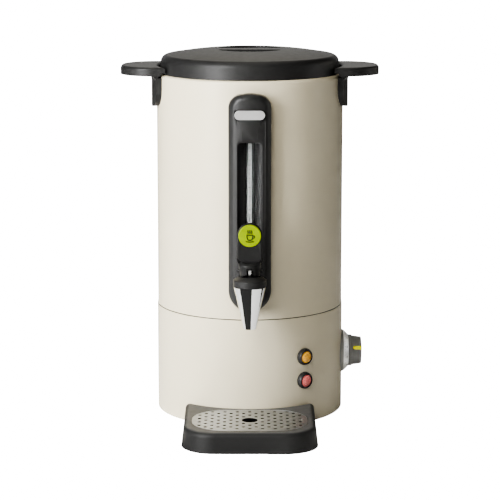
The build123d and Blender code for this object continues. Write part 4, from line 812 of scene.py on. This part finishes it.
class URN_OT_grille(bpy.types.Operator):
    """Perforate the drip grille and roll the edges of its holes"""

    bl_idname = "urn.grille"
    bl_label = "Drip grille"

    under = 0.9  # share of the rim's width that the sheet reaches under it

    def execute(self, context):
        grille = context.scene.urn_grille
        low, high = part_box("drip_grille")
        width, depth, thick = high - low
        tree = Tree(
            "Perforations", Width=width, Depth=depth, Thickness=thick, Corner=grille.corner,
            Sheet=grille.sheet, Rim=grille.rim, Dish=grille.dish,
            Hole=grille.hole, Pitch=grille.pitch, Margin=grille.margin, Finger=grille.finger,
            Columns=2 * int(width / 2 / grille.pitch) + 1,
            Rows=2 * int(depth / 2 / grille.pitch) + 1,
            Finish=finishes()["stainless"])
        size = tree.given
        finger = tree.add("GeometryNodeCurvePrimitiveCircle", Resolution=64, Radius=size["Finger"])
        edge = self.outline(tree, size["Rim"] * self.under)
        sheet = self.slab(tree, tree.join(edge, finger, self.holes(tree)), size["Sheet"],
                          size["Sheet"] + size["Dish"])
        edges = tree.join(self.outline(tree, 0), self.outline(tree, size["Rim"]))
        rim = self.slab(tree, edges, size["Thickness"], size["Thickness"])
        plate = tree.grow(tree.join(rim, sheet))
        middle = (low + high) / 2
        plate.transform(Matrix.Translation((middle.x, middle.y, high.z)))
        piece("grille_plate", tidy(plate, bevel=grille.edge), "grille", "stainless", "drip_grille",
              skin="grille_skin")
        return {"FINISHED"}

    def holes(self, tree):
        """Staggered drain holes, clear of the rounded outline and of the finger hole."""
        size = tree.given
        grid = tree.add("GeometryNodeMeshGrid",
                        Vertices_X=size["Columns"], Size_X=size["Pitch"] * (size["Columns"] - 1),
                        Vertices_Y=size["Rows"], Size_Y=size["Pitch"] * (size["Rows"] - 1))
        here = tree.add("GeometryNodeInputPosition")
        x, y, _ = tree.values("ShaderNodeSeparateXYZ", Vector=here)
        column, row = [tree.math("ROUND", place / size["Pitch"]) for place in (x, y)]
        past = []
        for place, side in ((x, size["Width"]), (y, size["Depth"])):
            over = tree.math("ABSOLUTE", place) - (side * 0.5 - size["Corner"])
            past.append(tree.math("MAXIMUM", over, 0))
        inside = self.far(tree, *past) < size["Corner"] - size["Margin"]
        clear = self.far(tree, x, y) > size["Finger"] + size["Margin"]
        keep = (column + row) % 2 * (inside * clear)
        spots = tree.add("GeometryNodeMeshToPoints", Mesh=grid, Selection=keep)
        hole = tree.add("GeometryNodeCurvePrimitiveCircle", Resolution=20, Radius=size["Hole"])
        return tree.scatter(spots, hole)

    def outline(self, tree, inset):
        """The grille's outline, moved in by inset."""
        size = tree.given
        sides = tree.add("GeometryNodeCurvePrimitiveQuadrilateral",
                         Width=size["Width"] - inset * 2, Height=size["Depth"] - inset * 2)
        return tree.add("GeometryNodeFilletCurve", {"mode": "POLY"}, Curve=sides, Count=24,
                        Radius=size["Corner"] - inset)

    def slab(self, tree, curves, thick, drop):
        """The area inside the curves made thick, with its underside at the drop."""
        real = tree.add("GeometryNodeRealizeInstances", Geometry=curves)
        sheet = tree.add("GeometryNodeFillCurve", Curve=real)
        walls = tree.add("GeometryNodeExtrudeMesh", Mesh=sheet, Offset_Scale=thick,
                         Individual=False)
        both = tree.join(walls, tree.add("GeometryNodeFlipFaces", Mesh=sheet))
        down = tree.vector(Z=drop * -1)
        return tree.add("GeometryNodeTransform", Geometry=both, Translation=down)

    def far(self, tree, x, y):
        """How far x and y are from the middle."""
        return tree.math("SQRT", x * x + y * y)


class URN_OT_screws(bpy.types.Operator):
    """Drive the screws in, each with a cross in its head and a thread"""

    bl_idname = "urn.screws"
    bl_label = "Screws"

    head, shank, slot, pitch = 3.6 * MM, 2.0 * MM, 1.1 * MM, 0.9 * MM
    turns = (90, 210, 330)  # degrees round the base and the lid
    cone, rim = 0.55, 0.45  # shares of the head's depth that taper and that are straight
    crown = 0.82  # the head's top to its full radius
    cross = 1.1  # the slots' length to the head's radius
    core, root = 0.82, 0.8  # the shank under the thread, and a ridge's foot, to its full radius
    ridge = 0.8  # a ridge's height to the pitch

    def execute(self, context):
        up, back = Vector((0, 0, 1)), Vector((0, 1, 0))
        for name, body in (("base_bolts", "housing"), ("lid_bolts", "lid")):
            low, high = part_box(name.replace("bolts", "screws"))
            spots = [self.ring(high.y - self.head, turn, low.z) for turn in self.turns]
            self.drive(name, body, spots, up, high.z - low.z, 2.0 * MM)
        low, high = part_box("inlet_screws")
        spots = [(x, high.y, (low.z + high.z) / 2)
                 for x in (low.x + self.head, high.x - self.head)]
        self.drive("inlet_bolts", "housing", spots, -back, high.y - low.y, 1.4 * MM)
        return {"FINISHED"}

    def ring(self, radius, turn, height):
        """The place at the turn on a ring round the urn's middle."""
        return (radius * cos(radians(turn)), radius * sin(radians(turn)), height)

    def drive(self, name, body, spots, aim, length, deep):
        """Put a screw of the length at each spot, its shank towards the aim and its head deep."""
        tree = Tree(name, Head=self.head, Deep=deep, Length=length, Shank=self.shank,
                    Slot=self.slot, Thread=self.pitch, Finish=finishes()["zinc_steel"])
        size = tree.given
        cone, across = size["Deep"] * self.cone, size["Head"] * self.cross
        top = tree.add("GeometryNodeMeshCone", Vertices=32, Radius_Bottom=size["Head"], Depth=cone,
                       Radius_Top=size["Head"] * self.crown)
        rim = tree.add("GeometryNodeMeshCylinder", Vertices=32, Radius=size["Head"],
                       Depth=size["Deep"] * self.rim)
        cut = tree.add("GeometryNodeMeshBoolean", {"operation": "DIFFERENCE"})
        tree.feed(cut.inputs["Mesh 1"], self.shift(tree, top, cone, turn=pi))
        for wide, long in ((across, size["Slot"]), (size["Slot"], across)):
            span = tree.vector(X=wide, Y=long, Z=size["Deep"])
            tree.feed(cut.inputs["Mesh 2"], tree.add("GeometryNodeMeshCube", Size=span))
        below = size["Length"] - size["Deep"]
        shank = tree.add("GeometryNodeMeshCylinder", Vertices=20, Depth=below,
                         Radius=size["Shank"] * self.core)
        ridge = tree.add("GeometryNodeMeshCone", Vertices=20, Radius_Bottom=size["Shank"],
                         Radius_Top=size["Shank"] * self.root, Depth=size["Thread"] * self.ridge)
        line = tree.add("GeometryNodeMeshLine", Count=below / size["Thread"],
                        Offset=tree.vector(Z=size["Thread"]))
        screw = tree.join(cut, self.shift(tree, rim, size["Deep"] * (self.cone + self.rim / 2)),
                          self.shift(tree, shank, size["Deep"] + below * 0.5),
                          self.shift(tree, tree.scatter(line, ridge), size["Deep"]))
        aims = tree.add("GeometryNodeInputNamedAttribute", {"data_type": "FLOAT_VECTOR"},
                        Name="aim")
        facing = tree.add("FunctionNodeAlignRotationToVector", {"axis": "Z"}, Vector=aims)
        placed = tree.scatter(size["Start"], screw, Rotation=facing)
        mesh = tree.grow(placed, points(name, spots, aim))
        piece(name, tidy(mesh), body, "zinc_steel", name.replace("bolts", "screws"))

    def shift(self, tree, shape, height, turn=0.0):
        """The shape turned about X and moved up by the height."""
        return tree.add("GeometryNodeTransform", Geometry=shape, Rotation=(turn, 0, 0),
                        Translation=tree.vector(Z=height))


class URN_OT_dial(bpy.types.Operator):
    """Print the thermostat's scale on its ring"""

    bl_idname = "urn.dial"
    bl_label = "Thermostat scale"

    back, front = 24.7 * MM, 19.2 * MM  # radii of the ring's cone
    rise = 0.8 * MM  # of the cone's back edge off the flange
    marks_at, numbers_at = 0.26, 0.68  # shares of the way from the cone's back edge to its front
    every = 4  # from one long mark to the next
    short, more = (0.55, 0.8), (0.45, 0.5)  # short mark's length and width, and a long one's gain
    tall, proud = 3.1 * MM, 0.08 * MM  # the numbers' height, and half their thickness

    def execute(self, context):
        dial = context.scene.urn_dial
        low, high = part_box("dial_ring")
        self.hub = Vector((low.x, (low.y + high.y) / 2, (low.z + high.z) / 2))
        self.slope = atan2(self.back - self.front, high.x - low.x - self.rise)
        radius, height = self.at(self.marks_at)
        tree = Tree("Scale marks", Marks=dial.marks, First=dial.first, Sweep=dial.sweep,
                    Radius=radius, Height=height, Slope=self.slope,
                    Long=1.9 * MM, Wide=0.32 * MM, Proud=0.16 * MM,
                    Finish=finishes()["dial_ink"])
        size = tree.given
        line = tree.add("GeometryNodeMeshLine", Count=size["Marks"])
        index, = tree.values("GeometryNodeInputIndex")
        turn = pi / 2 - (size["First"] + index / (size["Marks"] - 1) * size["Sweep"])
        x, y = [size["Radius"] * tree.math(side, turn) for side in ("COSINE", "SINE")]
        ring = tree.add("GeometryNodeSetPosition", Geometry=line,
                        Position=tree.vector(X=x, Y=y, Z=size["Height"]))
        mark = tree.add("GeometryNodeMeshCube",
                        Size=tree.vector(X=size["Long"], Y=size["Wide"], Z=size["Proud"]))
        lean = tree.vector(Y=pi / 2 - size["Slope"], Z=turn)
        major = index % self.every < 0.5
        long, wide = [major * gain + least for least, gain in zip(self.short, self.more)]
        facing = tree.add("FunctionNodeEulerToRotation", Euler=lean)
        mesh = tree.grow(tree.scatter(ring, mark, Rotation=facing,
                                      Scale=tree.vector(X=long, Y=wide, Z=1.0)))
        mesh.transform(self.face())
        piece("dial_marks", tidy(mesh), "housing", "dial_silver", skin="dial_ink")
        self.numbers(dial)
        return {"FINISHED"}

    def at(self, share):
        """Radius and height on the cone, from its back edge (0) to its front edge (1)."""
        low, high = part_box("dial_ring")
        return (self.back + share * (self.front - self.back),
                self.rise + share * (high.x - low.x - self.rise))

    def face(self):
        """From the dial's own axes (X along the top, Z off the face) to the urn's."""
        return Matrix.Translation(self.hub) @ Matrix(((0, 0, 1), (1, 0, 0), (0, 1, 0))).to_4x4()

    def numbers(self, dial):
        """Bend plain numbers round the cone, one at each long mark."""
        form = bmesh.new()
        count = (dial.marks - 1) // self.every + 1
        radius, height = self.at(self.numbers_at)
        for place in range(count):
            curve = bpy.data.curves.new("Number", "FONT")
            curve.body = str(dial.coldest + dial.step * place)
            curve.size = self.tall
            curve.extrude = self.proud
            curve.align_x = "CENTER"
            curve.align_y = "CENTER"
            curve.resolution_u = 3
            text = bpy.data.objects.new("Number", curve)
            mesh = flesh(text)
            turn = pi / 2 - (dial.first + dial.sweep * place / (count - 1))
            for vertex in mesh.vertices:
                across, along, off = vertex.co
                far = radius + along * sin(self.slope) + off * cos(self.slope)
                angle = turn - across / radius
                vertex.co = (far * cos(angle), far * sin(angle),
                             height - along * cos(self.slope) + off * sin(self.slope))
            form.from_mesh(mesh)
            bpy.data.objects.remove(text)
        mesh = meshed(form, "dial_numbers", self.face())
        piece("dial_numbers", tidy(mesh), "housing", "dial_silver", skin="dial_ink")


class URN_OT_emblem(bpy.types.Operator):
    """Mould a steaming cup on the lever's disc"""

    bl_idname = "urn.emblem"
    bl_label = "Cup on the tap disc"

    wire, flat = 0.72 * MM, 0.6  # radius of the strokes, and the share of it that stands proud

    def execute(self, context):
        low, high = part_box("lever_disc")
        strokes = (  # X and Z in millimetres: bowl, brim, handle, saucer and three curls of steam
            [(-3.3, 1.0), (-3.2, -1.4), (-2.7, -3.6), (-1.5, -4.9),
             (1.5, -4.9), (2.7, -3.6), (3.2, -1.4), (3.3, 1.0)],
            [(-3.7, 1.1), (0, 0.8), (3.7, 1.1)],
            [(3.1, 0.0), (4.9, 0.3), (5.4, -1.2), (4.6, -2.6), (2.8, -3.0)],
            [(-4.6, -6.2), (-2.2, -6.9), (2.2, -6.9), (4.6, -6.2)],
            *[[(x - 0.4, 2.6), (x + 0.8, 3.9), (x - 0.9, 5.2), (x + 0.4, 6.6)]
              for x in (-2.1, 0, 2.1)],
        )
        curve = bpy.data.curves.new("Cup", "CURVE")
        curve.dimensions = "3D"
        curve.bevel_depth = self.wire
        curve.bevel_resolution = 3
        curve.use_fill_caps = True
        for stroke in strokes:
            spline = curve.splines.new("NURBS")
            spline.points.add(len(stroke) - 1)
            for point, (x, z) in zip(spline.points, stroke):
                point.co = (x * MM, 0, z * MM, 1)
            spline.order_u = 3
            spline.use_endpoint_u = True
            spline.resolution_u = 8
        outline = bpy.data.objects.new("Cup", curve)
        context.collection.objects.link(outline)
        mesh = flesh(outline)
        bpy.data.objects.remove(outline)
        mesh.transform(Matrix.Diagonal((1, self.flat, 1, 1)))
        mesh.transform(Matrix.Translation(((low.x + high.x) / 2, low.y, (low.z + high.z) / 2)))
        piece("disc_cup", tidy(mesh), "lever", "lime_plastic", skin="cup_ink")
        return {"FINISHED"}


class URN_OT_gauge(bpy.types.Operator):
    """Mark the level strip behind the gauge glass"""

    bl_idname = "urn.gauge"
    bl_label = "Level marks"

    count, every = 20, 5  # number of marks, and from one long mark to the next

    def execute(self, context):
        low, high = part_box("gauge_strip")
        step = (high.z - low.z) / (self.count + 1)
        tree = Tree("Level marks", Count=self.count, Step=step, Wide=high.x - low.x,
                    Thick=0.35 * MM, Proud=0.1 * MM, Finish=finishes()["level_ink"])
        size = tree.given
        line = tree.add("GeometryNodeMeshLine", Count=size["Count"],
                        Offset=tree.vector(Z=size["Step"]))
        mark = tree.add("GeometryNodeMeshCube",
                        Size=tree.vector(X=size["Wide"], Y=size["Proud"], Z=size["Thick"]))
        index, = tree.values("GeometryNodeInputIndex")
        major = index % self.every < 0.5
        scale = tree.vector(X=major * 0.45 + 0.4, Y=1.0, Z=major * 0.6 + 1.0)
        marks = tree.grow(tree.scatter(line, mark, Scale=scale))
        marks.transform(Matrix.Translation((0, low.y, low.z + step)))
        piece("level_marks", tidy(marks), "housing", "gauge_white", skin="level_ink")
        return {"FINISHED"}


class URN_OT_stage(bpy.types.Operator):
    """Set the floor, the lights and the camera"""

    bl_idname = "urn.stage"
    bl_label = "Stage"

    middle = Vector((0, 0, 0.24))  # what the lights point at
    card, band = (0.9, 1.2), 2.2  # size and distance of an ordinary softbox
    softboxes = (
        # name, turn to the right, rise, distance, size, glow, lights surfaces, shows in gloss
        ("Key", -50, 12, band, card, 24.0, True, False),
        ("Key top", -50, 42, band, card, 5.5, True, False),
        ("Front", -20, 42, band, card, 6.0, True, False),
        ("Rim right", 120, 12, band, card, 0.85, True, True),
        ("Rim back", 180, 42, band, card, 1.3, True, True),
        ("Ceiling", 0, 88, 1.8, (1.2, 1.2), 1.1, True, True),
        ("Key shine", -42, 20, band, (0.7, 1.6), 12.0, False, True),
        ("Front shine", 0, 16, 1.6, (2.0, 1.2), 0.12, False, True),
        ("Side shine", 90, 10, band, card, 1.4, False, True),
        ("Back shine", 180, 14, band, (2.5, 0.9), 0.6, False, True),
    )
    # patches of the floor: from turn to turn, and from distance to distance of the tap
    patches = ((-80, 16, 0.06, 0.5), (48, 118, 0.32, 0.8))
    tap_y, lift, facets = -0.15, 0.0002, 12  # the patches' centre, height and steps

    def execute(self, context):
        studio = context.scene.urn_studio
        self.room(context, studio)
        self.floor(context, studio)
        for name, turn, rise, away, size, glow, soft, shine in self.softboxes:
            lamp = self.softbox(context, name, turn, rise, away, size, glow * studio.light)
            if soft and not name.startswith("Key"):
                lamp.data.color = studio.warm
            lamp.visible_diffuse = soft
            lamp.visible_glossy = shine
        self.camera(context, studio)
        context.scene.view_settings.view_transform = "AgX"
        context.scene.view_settings.look = "AgX - High Contrast"
        return {"FINISHED"}

    def room(self, context, studio):
        """A dim even light all round, and a bright backdrop for the camera alone."""
        world = bpy.data.worlds.new("Studio room")
        context.scene.world = world
        world.use_nodes = True
        nodes = Nodes(world.node_tree)
        seen = nodes.add("ShaderNodeLightPath").outputs["Is Camera Ray"]
        mix = nodes.add("ShaderNodeMixShader", Fac=seen)
        for socket, strength in zip(mix.inputs[1:], (studio.fill, studio.white)):
            nodes.feed(socket, nodes.add("ShaderNodeBackground", Strength=strength))
        nodes.add("ShaderNodeOutputWorld", Surface=mix)

    def floor(self, context, studio):
        """The white floor, with two patches round the tap that are dark in reflections alone."""
        reach = 6.0
        corners = [(-reach, -reach, 0), (reach, -reach, 0), (reach, reach, 0), (-reach, reach, 0)]
        faces = [(0, 1, 2, 3)]
        low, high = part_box("tap_body")
        tap_x = (low.x + high.x) / 2
        for start, end, near, far in self.patches:
            first = len(corners)
            for step in range(self.facets + 1):
                turn = radians(start + step * (end - start) / self.facets)
                corners += [(tap_x + away * sin(turn), self.tap_y - away * cos(turn), self.lift)
                            for away in (near, far)]
            faces += [(k, k + 1, k + 3, k + 2) for k in range(first, first + 2 * self.facets, 2)]
        mesh = bpy.data.meshes.new("Floor")
        mesh.from_pydata(corners, [], faces)
        for name, mirrored in (("Pale floor", 0.85), ("Shaded floor", studio.shade)):
            mesh.materials.append(self.pale(studio, name, mirrored))
        for face in mesh.polygons[1:]:
            face.material_index = 1
        floor = bpy.data.objects.new("Floor", mesh)
        context.collection.objects.link(floor)

    def pale(self, studio, name, mirrored):
        """A pale floor that is white to the camera and as bright as mirrored in reflections."""
        pale = Finish(name, (0.85, 0.85, 0.85), 0.6, Emission_Color=(1, 1, 1, 1),
                      Specular_IOR_Level=0.0)
        pale.vary_colour(pale.noise(grain=0.3), amount=0.01)
        path = pale.add("ShaderNodeLightPath").outputs
        surface = pale.shader.inputs
        pale.mix(path["Is Glossy Ray"], surface["Base Color"].links[0].from_socket,
                 (mirrored, mirrored, mirrored, 1))
        glow = pale.math("MULTIPLY", path["Is Camera Ray"], studio.floor)
        pale.feed(surface["Emission Strength"], glow)
        return pale.material

    def softbox(self, context, name, turn, rise, away, size, glow):
        """An area light that faces the urn and looks as bright as its glow, whatever its size."""
        light = bpy.data.lights.new(name, "AREA")
        light.shape = "RECTANGLE"
        light.size, light.size_y = size
        light.energy = glow * pi * size[0] * size[1]
        lamp = bpy.data.objects.new(name, light)
        turn, rise = radians(turn), radians(rise)
        toward = Vector((sin(turn) * cos(rise), -cos(turn) * cos(rise), sin(rise)))
        lamp.location = self.middle + toward * away
        lamp.rotation_euler = toward.to_track_quat("Z", "Y").to_euler()
        context.collection.objects.link(lamp)
        return lamp

    def camera(self, context, studio):
        """The camera in front of the urn, which looks down by the tilt."""
        view = bpy.data.cameras.new("Camera")
        view.lens = studio.lens
        view.shift_x = studio.sideways
        view.shift_y = studio.rise
        camera = bpy.data.objects.new("Camera", view)
        camera.location = (0, -studio.eye_distance, studio.eye_height)
        camera.rotation_euler = (pi / 2 - studio.tilt, 0, 0)
        context.collection.objects.link(camera)
        context.scene.camera = camera


class URN_PT_panel(bpy.types.Panel):
    """Lists the urn's pieces in the sidebar"""

    bl_label = "Hot water urn"
    bl_idname = "URN_PT_panel"
    bl_space_type = "VIEW_3D"
    bl_region_type = "UI"
    bl_category = "Urn"

    def draw(self, context):
        for operator in PIECES:
            self.layout.operator(operator.bl_idname)


GROUPS = {"urn_finishes": Finishes, "urn_front": Front, "urn_lamps": Lamps, "urn_grille": Grille,
          "urn_dial": Dial, "urn_studio": Studio}
PIECES = (URN_OT_finishes, URN_OT_lamps, URN_OT_pointer, URN_OT_panel, URN_OT_lever, URN_OT_spring,
          URN_OT_emblem, URN_OT_gauge, URN_OT_dial, URN_OT_grille, URN_OT_screws, URN_OT_stage)
CLASSES = (*GROUPS.values(), *PIECES, URN_PT_panel)


def register():
    for cls in CLASSES:
        bpy.utils.register_class(cls)
    for name, group in GROUPS.items():
        setattr(bpy.types.Scene, name, PointerProperty(type=group))


def unregister():
    for name in GROUPS:
        delattr(bpy.types.Scene, name)
    for cls in reversed(CLASSES):
        bpy.utils.unregister_class(cls)


def main():
    """Build every piece in order."""
    register()
    for operator in PIECES:
        group, name = operator.bl_idname.split(".")
        getattr(getattr(bpy.ops, group), name)()


if __name__ == "__main__":
    main()
